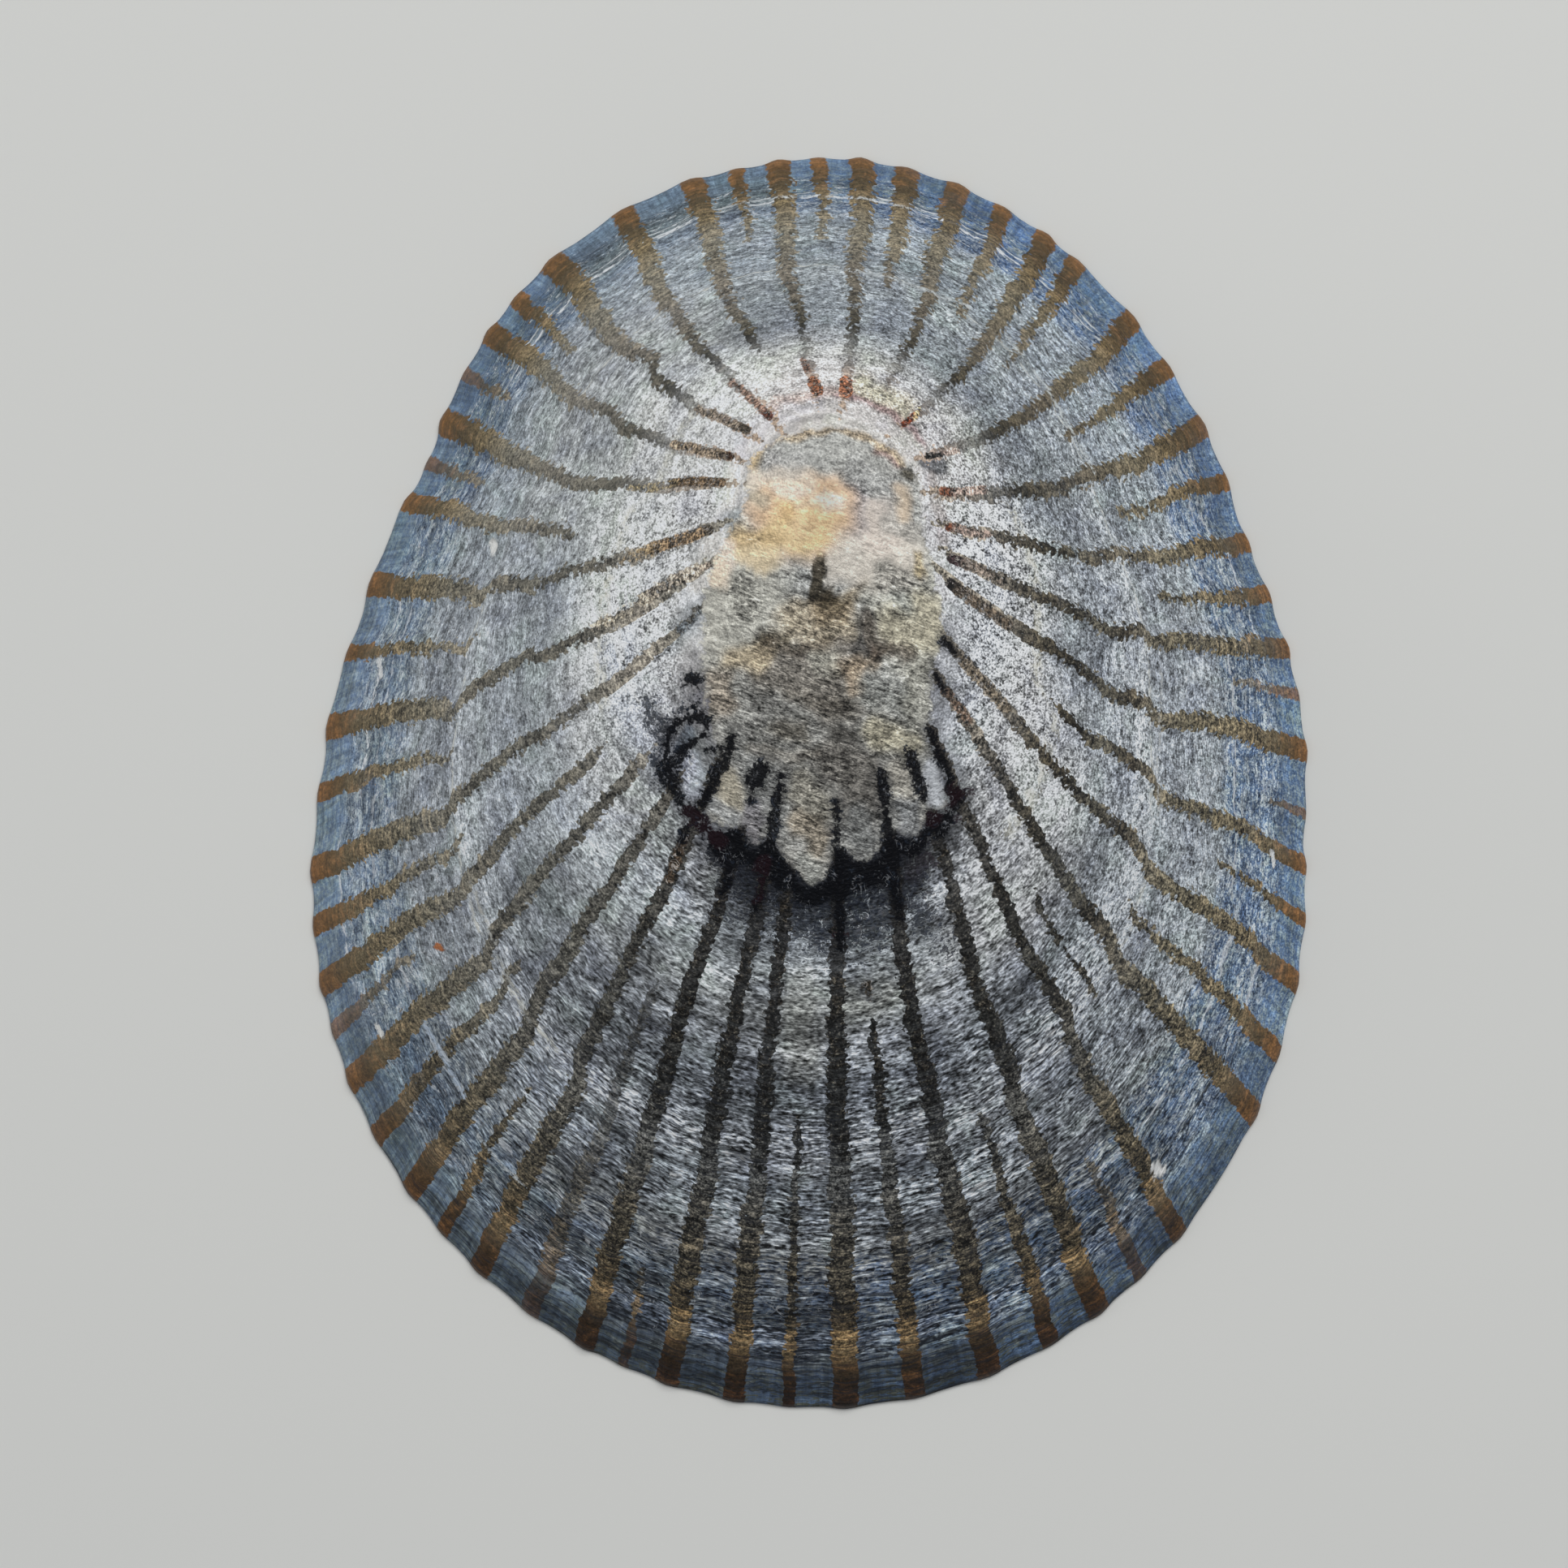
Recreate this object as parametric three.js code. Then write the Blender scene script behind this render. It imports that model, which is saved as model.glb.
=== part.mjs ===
// Ribbed limpet shell, one hollow cap of shell grown as a single piece.
// Millimetres, +Z up, +Y toward the narrow front end; the rim rests on z = 0
// and the origin is the middle of the rim's box at the ground.
import * as THREE from 'three';

// Overall size
const HEIGHT = 18.5;              // ground to the worn top
const MEAN_RADIUS = 27.6;         // mean radius of the rim's outline
const APEX_X = 0.56;              // the apex stands a little right of the outline's centre
const APEX_Y = 13.53;             // and well toward the narrow end
const APEX_ROUND = 0.07;          // share of the slope that the worn top rounds off

// Outline of the rim: waves added to the mean radius, cosine and sine part of each
const OUTLINE_WAVES = [
  [-0.70, 0.25],
  [3.32, 0.18],
  [0.76, 0.10],
  [0.19, -0.09],
];

// Shallow swellings and flats of the rim: angle in degrees, amount, half-width in degrees
const RIM_BUMPS = [
  [310, -0.45, 6],
  [330, 0.22, 9],
  [354, -0.16, 5],
  [60, -0.26, 5],
  [80, 0.34, 9],
  [98, -0.20, 4],
  [281, 0.20, 6],
];

// Profile: the slope falls as a power of the way out, straighter at the front
const POWER_MEAN = 1.50;
const POWER_FRONT = -0.325;
const POWER_SIDE = 0.04;

// Ribs: where each one meets the rim, in degrees clockwise from the front, and its
// share of the full rib height; one stretch of the rim is plain
const RIBS = [
  [0.8, 0.4], [4.7, 1], [9, 0.7], [13.9, 0.9], [18.6, 0.6],
  [23.4, 0.9], [27.1, 0.6], [34.7, 0.9], [40.7, 0.7], [47.6, 1],
  [54, 0.6], [61.1, 0.9], [67.5, 0.7], [74.1, 1], [79.7, 0.4],
  [86.2, 1], [93.5, 0.3], [99.4, 0.9], [105.5, 0.6], [112.3, 1],
  [120, 0.7], [126.6, 1], [133.4, 0], [140.7, 0.85], [146.1, 0.55],
  [151.2, 1], [156.7, 0.6], [163.1, 1], [170.2, 0.7], [176.7, 1],
  [181.9, 0.7], [187, 0.9], [193.4, 1], [197.8, 0.4], [201.8, 1],
  [207.9, 0.85], [214.2, 1], [219.3, 0.6], [224.4, 1], [230.8, 0.75],
  [237, 1], [242.6, 0.6], [247.5, 1], [253.9, 0.75], [260.1, 1],
  [268.9, 0.7], [276.7, 1], [285.9, 0.7], [294.5, 1], [305, 0.8],
  [310, 0.5], [314.7, 1], [320, 0.45], [324.7, 0.85], [328.9, 0.5],
  [333.8, 1], [341.9, 0.8], [348.9, 0.75], [353.2, 0.5], [357.1, 0.8],
];
const RIB_HEIGHT = 0.26;          // the strongest ones at the rim
const RIB_START = 0.24;           // share of the way out where the ribs begin
const RIB_BEND = 14.5;            // degrees that a side rib swings back toward the apex

// Growth checks: share of the way out, depth of the step below it
const GROWTH_STEPS = [
  [0.665, 0.16],
  [0.915, 0.20],
];
const STEP_WIDTH = 0.02;

// Wall of the shell, and the flat land that it rests on
const LAND_WIDTH = 0.75;
const WALL_MID = 1.35;            // upright thickness half-way
const WALL_TOP = 2.60;            // upright thickness under the apex

// Mesh rows, as shares of the way out from the apex
const CAP_ROWS = [0.05, 0.10, 0.15];
const OUTER_ROWS = [
  0.20, 0.25, 0.31, 0.37, 0.43, 0.49, 0.55, 0.61, 0.655, 0.675, 0.73, 0.79, 0.85, 0.905,
  0.925, 0.955, 0.98, 1.0,
];
const INNER_ROWS = [0.985, 0.955, 0.90, 0.81, 0.70, 0.57, 0.43, 0.29, 0.15];
const COLUMNS_PER_RIB = 3;

const ribCount = RIBS.length;
const columnCount = ribCount * COLUMNS_PER_RIB;
const apex = new THREE.Vector2(APEX_X, APEX_Y);

// Signed gap between two angles in degrees, from -180 to 180
function angleGap(a, b) {
  const turn = (a - b) % 360;
  return turn > 180 ? turn - 360 : turn < -180 ? turn + 360 : turn;
}

// Point of the rim's outline at an angle clockwise from the front
function rimPoint(degrees) {
  const angle = THREE.MathUtils.degToRad(degrees);
  let radius = MEAN_RADIUS;
  OUTLINE_WAVES.forEach(([cosPart, sinPart], i) => {
    radius += cosPart * Math.cos((i + 1) * angle) + sinPart * Math.sin((i + 1) * angle);
  });
  for (const [at, amount, width] of RIM_BUMPS) {
    radius += amount * Math.exp(-((angleGap(degrees, at) / width) ** 2));
  }
  return new THREE.Vector2(radius * Math.sin(angle), radius * Math.cos(angle));
}

// Angle of a column at a share of the way out; side columns swing back toward the apex
function columnAngle(column, out) {
  const rib = Math.floor(column / COLUMNS_PER_RIB);
  const part = (column % COLUMNS_PER_RIB) / COLUMNS_PER_RIB;
  const from = RIBS[rib][0];
  const gap = (angleGap(RIBS[(rib + 1) % ribCount][0], from) + 360) % 360;
  const atRim = from + part * gap;
  const bend = RIB_BEND * Math.sin(THREE.MathUtils.degToRad(atRim)) * (1 - out) / 0.75;
  return atRim + bend * THREE.MathUtils.smoothstep(out, 0, 0.25);
}

// Share of the full height left at a share of the way out
function slope(degrees, out) {
  const angle = THREE.MathUtils.degToRad(degrees);
  const power = POWER_MEAN + POWER_FRONT * Math.cos(angle) + POWER_SIDE * Math.cos(2 * angle);
  const soft = APEX_ROUND ** power;
  const fall = (out * out + APEX_ROUND * APEX_ROUND) ** (power / 2) - soft;
  const whole = (1 + APEX_ROUND * APEX_ROUND) ** (power / 2) - soft;
  return 1 - fall / whole;
}

// Smooth outer surface before ribs and steps
function smoothPoint(degrees, out) {
  const flat = rimPoint(degrees).sub(apex).multiplyScalar(out).add(apex);
  return new THREE.Vector3(flat.x, flat.y, HEIGHT * slope(degrees, out));
}

// Outward direction of the smooth surface
function smoothNormal(degrees, out) {
  const here = smoothPoint(degrees, out);
  const away = smoothPoint(degrees, out + 0.01).sub(here);
  const along = smoothPoint(degrees + 0.5, out).sub(here);
  return along.cross(away).normalize();
}

// Outer surface with ribs and growth steps; the rim's points only move sideways
function outerPoint(column, out) {
  const degrees = columnAngle(column, out);
  const strength = column % COLUMNS_PER_RIB === 0 ? RIBS[column / COLUMNS_PER_RIB][1] : 0;
  const grown = THREE.MathUtils.smoothstep(out, RIB_START, 1.1);
  let lift = RIB_HEIGHT * strength * (0.35 + 0.65 * grown) * Math.min(1, grown * 8);
  for (const [at, depth] of GROWTH_STEPS) {
    const past = THREE.MathUtils.smoothstep(out, at - STEP_WIDTH / 2, at + STEP_WIDTH / 2);
    lift -= depth * past * (1 - THREE.MathUtils.smoothstep(out, at, at + 0.2));
  }
  const point = smoothPoint(degrees, out);
  const normal = smoothNormal(degrees, Math.min(out, 0.99));
  point.addScaledVector(normal, lift);
  if (out === 1) {
    point.z = 0;
  }
  return point;
}

// Share of the way out at which the flat land ends on the inside
function landShare(degrees) {
  const reach = rimPoint(degrees).sub(apex).length();
  return 1 - LAND_WIDTH / reach;
}

// Inner surface: the smooth outer slope lowered by the wall
function innerPoint(column, inward) {
  const degrees = columnAngle(column, inward);
  const edge = landShare(degrees);
  const point = smoothPoint(degrees, inward * edge);
  const edgeHeight = HEIGHT * slope(degrees, edge);
  const rise = THREE.MathUtils.smoothstep(1 - inward, 0, 0.45);
  const top = THREE.MathUtils.smoothstep(1 - inward, 0.3, 1);
  const wall = edgeHeight + (WALL_MID - edgeHeight) * rise + (WALL_TOP - WALL_MID) * top;
  point.z = Math.max(0, point.z - wall);
  return point;
}

// Faces between rings of points; a ring names the first vertex and how many it has
const vertices = [];
const faces = [];

function addRing(pointAt, count, step) {
  const first = vertices.length;
  for (let i = 0; i < count; i += 1) {
    vertices.push(pointAt(i * step));
  }
  return { first, count };
}

// Join an upper ring to a lower one with as many points
function joinEqual(upper, lower) {
  for (let i = 0; i < upper.count; i += 1) {
    const next = (i + 1) % upper.count;
    faces.push([upper.first + i, lower.first + next, lower.first + i]);
    faces.push([upper.first + i, upper.first + next, lower.first + next]);
  }
}

// Join a coarse ring to a finer one that has a whole number of points for each of its own
function joinFiner(coarse, fine, flip) {
  const ratio = fine.count / coarse.count;
  for (let i = 0; i < coarse.count; i += 1) {
    const here = coarse.first + i;
    const next = coarse.first + (i + 1) % coarse.count;
    const turnAt = Math.floor(ratio / 2);
    for (let k = 0; k < ratio; k += 1) {
      const from = fine.first + (i * ratio + k) % fine.count;
      const to = fine.first + (i * ratio + k + 1) % fine.count;
      const hub = k <= turnAt ? here : next;
      faces.push(flip ? [hub, from, to] : [hub, to, from]);
      if (k === turnAt) {
        faces.push(flip ? [here, to, next] : [here, next, to]);
      }
    }
  }
}

// Close a ring onto one point
function joinTip(tip, ring, flip) {
  for (let i = 0; i < ring.count; i += 1) {
    const from = ring.first + i;
    const to = ring.first + (i + 1) % ring.count;
    faces.push(flip ? [tip, from, to] : [tip, to, from]);
  }
}

// Outer surface from the apex down to the rim
function buildOuter() {
  const tip = vertices.length;
  vertices.push(smoothPoint(0, 0));
  let above = null;
  for (const out of CAP_ROWS) {
    const ring = addRing((c) => outerPoint(c, out), ribCount, COLUMNS_PER_RIB);
    if (above) {
      joinEqual(above, ring);
    } else {
      joinTip(tip, ring, false);
    }
    above = ring;
  }
  for (const out of OUTER_ROWS) {
    const ring = addRing((c) => outerPoint(c, out), columnCount, 1);
    if (ring.count === above.count) {
      joinEqual(above, ring);
    } else {
      joinFiner(above, ring, false);
    }
    above = ring;
  }
  return above;
}

// Flat land, then the inner surface up to the underside of the apex
function buildInner(rim) {
  const land = addRing((c) => innerPoint(c, 1), columnCount, 1);
  joinEqual(rim, land);
  let below = land;
  for (const inward of INNER_ROWS) {
    const ring = addRing((c) => innerPoint(c, inward), ribCount, COLUMNS_PER_RIB);
    if (ring.count === below.count) {
      joinEqual(below, ring);
    } else {
      joinFiner(ring, below, true);
    }
    below = ring;
  }
  const tip = vertices.length;
  vertices.push(innerPoint(0, 0));
  joinTip(tip, below, true);
}

const rim = buildOuter();
buildInner(rim);

// One closed mesh from the points and faces, its box centred over the origin
const geometry = new THREE.BufferGeometry().setFromPoints(vertices);
geometry.setIndex(faces.flat());
geometry.computeBoundingBox();
const middle = geometry.boundingBox.getCenter(new THREE.Vector3());
geometry.translate(-middle.x, -middle.y, 0);
geometry.computeVertexNormals();

const material = new THREE.MeshStandardMaterial({ color: 0x838c98, roughness: 0.55 });
material.name = 'grown_shell';

const shell = new THREE.Mesh(geometry, material);
shell.name = 'shell';

const part = new THREE.Group();
part.name = 'limpet_shell';
part.add(shell);

export default part;
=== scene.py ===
import math

import bpy
import numpy as np
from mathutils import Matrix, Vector


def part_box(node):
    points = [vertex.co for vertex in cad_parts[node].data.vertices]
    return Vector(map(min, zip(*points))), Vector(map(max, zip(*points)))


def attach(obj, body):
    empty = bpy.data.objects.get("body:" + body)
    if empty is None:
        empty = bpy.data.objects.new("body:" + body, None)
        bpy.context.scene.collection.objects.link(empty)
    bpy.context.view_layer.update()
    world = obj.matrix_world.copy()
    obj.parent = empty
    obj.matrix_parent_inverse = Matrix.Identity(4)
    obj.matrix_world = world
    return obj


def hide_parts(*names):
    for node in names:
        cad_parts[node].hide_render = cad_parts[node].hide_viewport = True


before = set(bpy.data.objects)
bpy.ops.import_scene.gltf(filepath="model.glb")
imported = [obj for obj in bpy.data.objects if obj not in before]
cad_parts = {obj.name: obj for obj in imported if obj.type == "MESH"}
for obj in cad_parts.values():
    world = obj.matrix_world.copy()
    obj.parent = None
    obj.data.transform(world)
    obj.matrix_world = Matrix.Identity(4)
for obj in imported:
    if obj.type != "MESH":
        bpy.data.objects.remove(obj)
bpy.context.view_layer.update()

mm = 0.001
degree = math.pi / 180


# Eased step from 0 to 1 as x goes from low to high
def ease(x, low, high):
    t = np.clip((x - low) / (high - low), 0, 1)
    return t * t * (3 - 2 * t)


# Bell of height 1 at the middle, down to a third one width away
def bell(x, middle, width):
    return np.exp(-((x - middle) / width) ** 2)


# Signed difference of two angles in degrees, from -180 to 180
def angleGap(a, b):
    return (a - b + 180) % 360 - 180


# The shell's form, in millimetres, angles clockwise from the front seen from above
form = {
    "height": 18.5,
    "meanRadius": 27.6,
    "apex": (0.56, 13.53),
    "apexRound": 0.07,
    "power": (1.50, -0.325, 0.04),   # mean, front and side part of the slope's power
    "waves": [(-0.70, 0.25), (3.32, 0.18), (0.76, 0.10), (0.19, -0.09)],
    "bumps": [(310, -0.45, 6), (330, 0.22, 9), (354, -0.16, 5), (60, -0.26, 5),
              (80, 0.34, 9), (98, -0.20, 4), (281, 0.20, 6)],
    "ribHeight": 0.26,
    "ribStart": 0.24,
    "lip": 0.22,                     # the rim's edge is rounded over this height
    "land": 0.75,
    "wallMid": 1.35,
    "wallTop": 2.60,
    # faint growth rings: share of the way out, depth
    "rings": [(0.47, 0.03), (0.56, 0.035), (0.61, 0.03), (0.735, 0.035), (0.79, 0.03),
              (0.835, 0.04), (0.945, 0.05), (0.965, 0.03)],
    "patchDepth": 0.10,
    "olderDrop": 0.12,               # height lost at the older growth check
    "flute": 0.07,
    "scar": 0.10,
    # rounding of the rim's edge: how far in, height
    "edge": [(0.03, 0.10), (0.10, 0.02), (0.20, 0.0), (0.45, 0.0)],
}


# Share of the way out at which the older growth check lies: a mean less small parts of the
# angle's cosine and sine, so that it lies farther out at the back left
checkMean = 0.672


def checkAt(angle):
    return checkMean - 0.027 * np.cos(angle * degree) - 0.025 * np.sin(angle * degree)


# Rays that break off for a stretch: row of the table, share of the way out, amount of the
# break, its width. The first of them also thins outside the older check for good, and one
# ray, named last, shows weaker than the others
brokenRays = [(22, 0.61, 0.6, 0.012), (28, 0.545, 0.8, 0.008)]
endingRay = 22
weakRay = 35

# Each ray: half-width in degrees, share of the way out where it ends inside, strength of
# its rib, and its angle at the stations, read off from the rim inward; the fourth and fifth
# stations lie just outside and just inside the older growth check
rayStations = [1.0, 0.85, 0.75, 0.684, 0.660, 0.555, 0.525, 0.45, 0.35, 0.27]
rays = [
    (0.62, 0.73, 0.4, [0.8, 1.2, 1.0]),
    (1.05, 0.22, 1.0, [4.7, 5.5, 5.6, 5.4, 5.3, 6.0, 6.3, 7.0, 7.4, 8.1]),
    (0.85, 0.60, 0.7, [9.0, 9.7, 9.9, 10.2]),
    (1.00, 0.33, 0.9, [13.9, 14.8, 15.0, 15.9, 16.6, 17.2, 17.7, 17.9, 18.3]),
    (0.72, 0.61, 0.6, [18.6, 19.8, 20.4]),
    (1.05, 0.27, 0.9, [23.4, 24.8, 25.7, 26.5, 27.0, 27.8, 28.5, 28.8, 29.8, 30.5]),
    (0.75, 0.60, 0.6, [27.1, 28.6, 29.7, 31.2, 31.6]),
    (1.10, 0.26, 0.9, [34.7, 36.8, 38.0, 39.3, 39.8, 41.0, 41.7, 42.5, 43.8, 44.4]),
    (0.88, 0.62, 0.7, [40.7, 42.2, 44.3, 45.5]),
    (1.25, 0.25, 1.0, [47.6, 50.0, 51.8, 53.0, 53.4, 55.4, 56.0, 57.0, 58.3, 59.5]),
    (0.75, 0.68, 0.6, [54.0, 55.7, 58.2, 60.0]),
    (1.10, 0.25, 0.9, [61.1, 63.2, 66.0, 67.5, 67.5, 70.4, 70.5, 71.3, 72.3, 75.0]),
    (0.82, 0.70, 0.7, [67.5, 70.3, 72.6, 73.9]),
    (1.20, 0.25, 1.0, [74.1, 77.1, 79.0, 82.4, 81.2, 85.4, 84.4, 84.8, 86.9, 88.0]),
    (0.60, 0.84, 0.4, [79.7, 81.7]),
    (1.30, 0.23, 1.0, [86.2, 88.4, 91.0, 95.2, 93.8, 97.4, 96.2, 96.8, 98.5, 99.0]),
    (0.50, 0.92, 0.3, [93.5]),
    (1.05, 0.47, 0.9, [99.4, 101.3, 104.0, 107.2, 105.2, 107.2, 108.9, 109.2]),
    (0.70, 0.80, 0.6, [105.5, 107.3]),
    (1.15, 0.25, 1.0, [112.3, 113.8, 116.0, 118.5, 116.7, 118.6, 119.6, 120.5, 120.5, 122.0]),
    (0.95, 0.67, 0.7, [120.0, 121.3, 123.5, 125.3]),
    (1.25, 0.26, 1.0, [126.6, 128.2, 129.9, 131.7, 130.5, 132.2, 132.1, 132.3, 132.5, 133.8]),
    (0.60, 0.54, 0.0, [133.4, 134.5, 135.6, 136.7, 137.2, 138.9]),
    (1.05, 0.30, 0.9, [140.7, 141.6, 142.7, 143.2, 142.3, 144.3, 144.5, 144.5, 144.5, 144.6]),
    (0.72, 0.83, 0.6, [146.1, 146.9]),
    (1.25, 0.30, 1.0, [151.3, 152.1, 152.6, 153.2, 152.7, 154.0, 153.6, 153.2, 152.4, 152.5]),
    (0.78, 0.71, 0.6, [156.7, 157.2, 157.8]),
    (1.25, 0.30, 1.0, [163.1, 163.2, 163.8, 164.3, 163.9, 165.3, 165.0, 164.6, 163.5, 162.4]),
    (0.82, 0.56, 0.7, [170.2, 170.4, 170.8, 170.9, 170.9, 171.4]),
    (1.30, 0.33, 1.0, [176.7, 176.7, 176.7, 176.8, 176.9, 177.0, 176.8, 176.2, 175.5, 175.3]),
    (0.62, 0.66, 0.4, [181.9, 182.1, 182.0, 182.1, 182.2]),
    (1.05, 0.39, 0.9, [187.0, 187.0, 186.8, 186.9, 186.9, 187.0, 186.9, 186.5, 186.0]),
    (1.20, 0.30, 1.0, [193.4, 193.3, 193.1, 193.2, 193.2, 192.9, 192.6, 191.6, 190.8, 190.0]),
    (0.50, 0.88, 0.4, [197.8]),
    (1.20, 0.38, 1.0, [201.8, 201.7, 201.1, 201.4, 201.1, 200.9, 200.5, 199.3, 198.3, 197.3]),
    (0.85, 0.58, 0.8, [207.9, 207.6, 206.7, 206.7, 206.8]),
    (1.15, 0.30, 1.0, [214.2, 213.6, 212.2, 211.5, 212.9, 211.8, 211.5, 210.2, 209.3, 208.7]),
    (0.68, 0.78, 0.6, [219.3, 218.8]),
    (1.15, 0.38, 1.0, [224.4, 223.4, 221.8, 221.3, 222.1, 221.2, 220.6, 219.3, 217.6, 216.6]),
    (0.80, 0.68, 0.7, [230.8, 229.7, 227.7, 227.2]),
    (1.20, 0.40, 1.0, [237.0, 235.3, 233.2, 231.8, 233.2, 232.5, 231.7, 230.2, 227.4]),
    (0.70, 0.83, 0.6, [242.5, 241.6]),
    (1.15, 0.45, 1.0, [247.5, 245.6, 243.0, 241.5, 242.3, 241.8, 241.0, 239.2]),
    (0.80, 0.70, 0.7, [253.9, 251.0, 249.0, 247.4]),
    (1.25, 0.24, 1.0, [260.1, 257.3, 254.6, 252.7, 254.0, 253.7, 251.9, 250.8, 247.8, 245.8]),
    (0.80, 0.71, 0.7, [268.9, 266.4, 263.5, 260.8]),
    (1.35, 0.21, 1.0, [276.7, 274.0, 271.0, 267.8, 269.8, 270.1, 267.8, 266.6, 263.7, 262.0]),
    (0.75, 0.69, 0.7, [285.9, 283.0, 280.4, 278.3]),
    (1.30, 0.20, 1.0, [294.5, 291.8, 289.8, 287.2, 288.7, 284.8, 286.0, 284.7, 282.5, 281.0]),
    (0.95, 0.53, 0.8, [305.0, 302.9, 300.3, 299.2, 299.1, 296.4, 294.6]),
    (0.65, 0.82, 0.5, [310.0, 308.0]),
    (1.20, 0.22, 1.0, [314.7, 313.0, 311.0, 309.8, 309.3, 306.5, 305.8, 306.8, 304.5, 305.3]),
    (0.52, 0.85, 0.4, [320.0, 318.6]),
    (0.98, 0.22, 0.9, [324.7, 323.7, 322.6, 320.6, 320.4, 320.7, 318.4, 318.2, 317.0, 318.0]),
    (0.68, 0.76, 0.5, [328.9, 327.8]),
    (1.25, 0.22, 1.0, [333.7, 333.2, 331.5, 330.6, 330.5, 331.6, 328.8, 328.8, 327.9, 329.5]),
    (0.98, 0.21, 0.8, [341.9, 341.3, 340.0, 339.4, 339.3, 338.4, 338.2, 338.7, 338.3, 340.0]),
    (0.92, 0.42, 0.8, [348.9, 348.7, 347.9, 347.3, 347.2, 346.3, 347.0, 347.2]),
    (0.60, 0.76, 0.5, [353.2, 352.8]),
    (1.00, 0.24, 0.8, [357.1, 357.0, 356.8, 356.2, 356.0, 356.3, 357.0, 357.0, 357.2, 358.2]),
]
rayCount = len(rays)


# Rim of the shell: a mean radius with a few waves round the turn and small local bumps
def rimPoint(angle):
    radius = np.full_like(angle, form["meanRadius"])
    for k, (cosPart, sinPart) in enumerate(form["waves"], 1):
        radius = radius + cosPart * np.cos(k * angle * degree) + sinPart * np.sin(k * angle * degree)
    for at, amount, width in form["bumps"]:
        radius = radius + amount * bell(angleGap(angle, at), 0, width)
    return np.stack([radius * np.sin(angle * degree), radius * np.cos(angle * degree)], -1)


# Height left at a share of the way out: one minus that share to a power that grows from
# front to back, softened close to the apex
def slope(angle, out):
    mean, front, side = form["power"]
    power = mean + front * np.cos(angle * degree) + side * np.cos(2 * angle * degree)
    soft = form["apexRound"] ** power
    fall = (out * out + form["apexRound"] ** 2) ** (power / 2) - soft
    return 1 - fall / ((1 + form["apexRound"] ** 2) ** (power / 2) - soft)


# Smooth outer surface: straight lines from the apex to the rim, dropped by the slope
def smoothPoint(angle, out):
    apex = np.array(form["apex"])
    flat = apex + out[..., None] * (rimPoint(angle) - apex)
    return np.concatenate([flat, form["height"] * slope(angle, out)[..., None]], -1)


# Outward direction: cross product of a small step along the rim and a small step out
def smoothNormal(angle, out):
    here = smoothPoint(angle, out)
    away = smoothPoint(angle, out + 0.01) - here
    along = smoothPoint(angle + 0.5, out) - here
    normal = np.cross(along, away)
    return normal / np.linalg.norm(normal, axis=-1, keepdims=True)


# Where each ray runs at each share of the way out: its read angles, gaps filled from the
# neighbours' bend, smoothed, with a slight waver of its own
def rayAngles(outRows):
    read = np.full((rayCount, len(rayStations)), np.nan)
    for i, ray in enumerate(rays):
        read[i, :len(ray[3])] = ray[3]
    swing = angleGap(read, read[:, :1])
    rim = read[:, 0]
    for k in range(1, len(rayStations)):
        known = ~np.isnan(swing[:, k])
        swing[~known, k] = np.interp(rim[~known], rim[known], swing[known, k], period=360)
    table = np.empty((len(outRows), rayCount))
    for i in range(rayCount):
        stations = np.array(rayStations)
        stations[3:5] += checkAt(rim[i] + swing[i, 3]) - checkMean
        table[:, i] = np.interp(outRows, stations[::-1], swing[i, ::-1])
    reach = bell(outRows[:, None] - outRows[None, :], 0, 0.008) * np.gradient(outRows)
    table = (reach @ table) / reach.sum(1, keepdims=True)
    rng = np.random.default_rng(11)
    phase = rng.uniform(0, 2 * math.pi, (3, rayCount))
    waver = sum(np.sin(outRows[:, None] * pitch + phase[k]) for k, pitch in enumerate((31, 67, 113)))
    inward = ease(outRows, 0.2, 0.5)[:, None]
    rimward = ease(outRows, 0.95, 1)[:, None]
    return rim + table + 0.09 * waver * inward * (1 - rimward)


# Grid of the outside: columns follow the rays, eight to each, and rows crowd where the
# worn patch and the rim need them
columnsPerRay = 8
outRows = np.concatenate([
    np.linspace(0, 0.20, 25)[1:],
    np.linspace(0.20, 0.45, 46)[1:],
    np.linspace(0.45, 0.84, 43)[1:],
    np.linspace(0.84, 1.0, 37)[1:],
])
column = np.arange(rayCount * columnsPerRay) / columnsPerRay
atRays = rayAngles(outRows)
fromRay = column.astype(int)
part = column - fromRay
leftAngle = atRays[:, fromRay]
gapToNext = (atRays[:, (fromRay + 1) % rayCount] - leftAngle) % 360
angle = leftAngle + part * gapToNext
out = np.broadcast_to(outRows[:, None], angle.shape)
nearRay = np.where(part <= 0.5, fromRay, (fromRay + 1) % rayCount)
offRay = np.where(part <= 0.5, part * gapToNext, (1 - part) * gapToNext)


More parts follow.
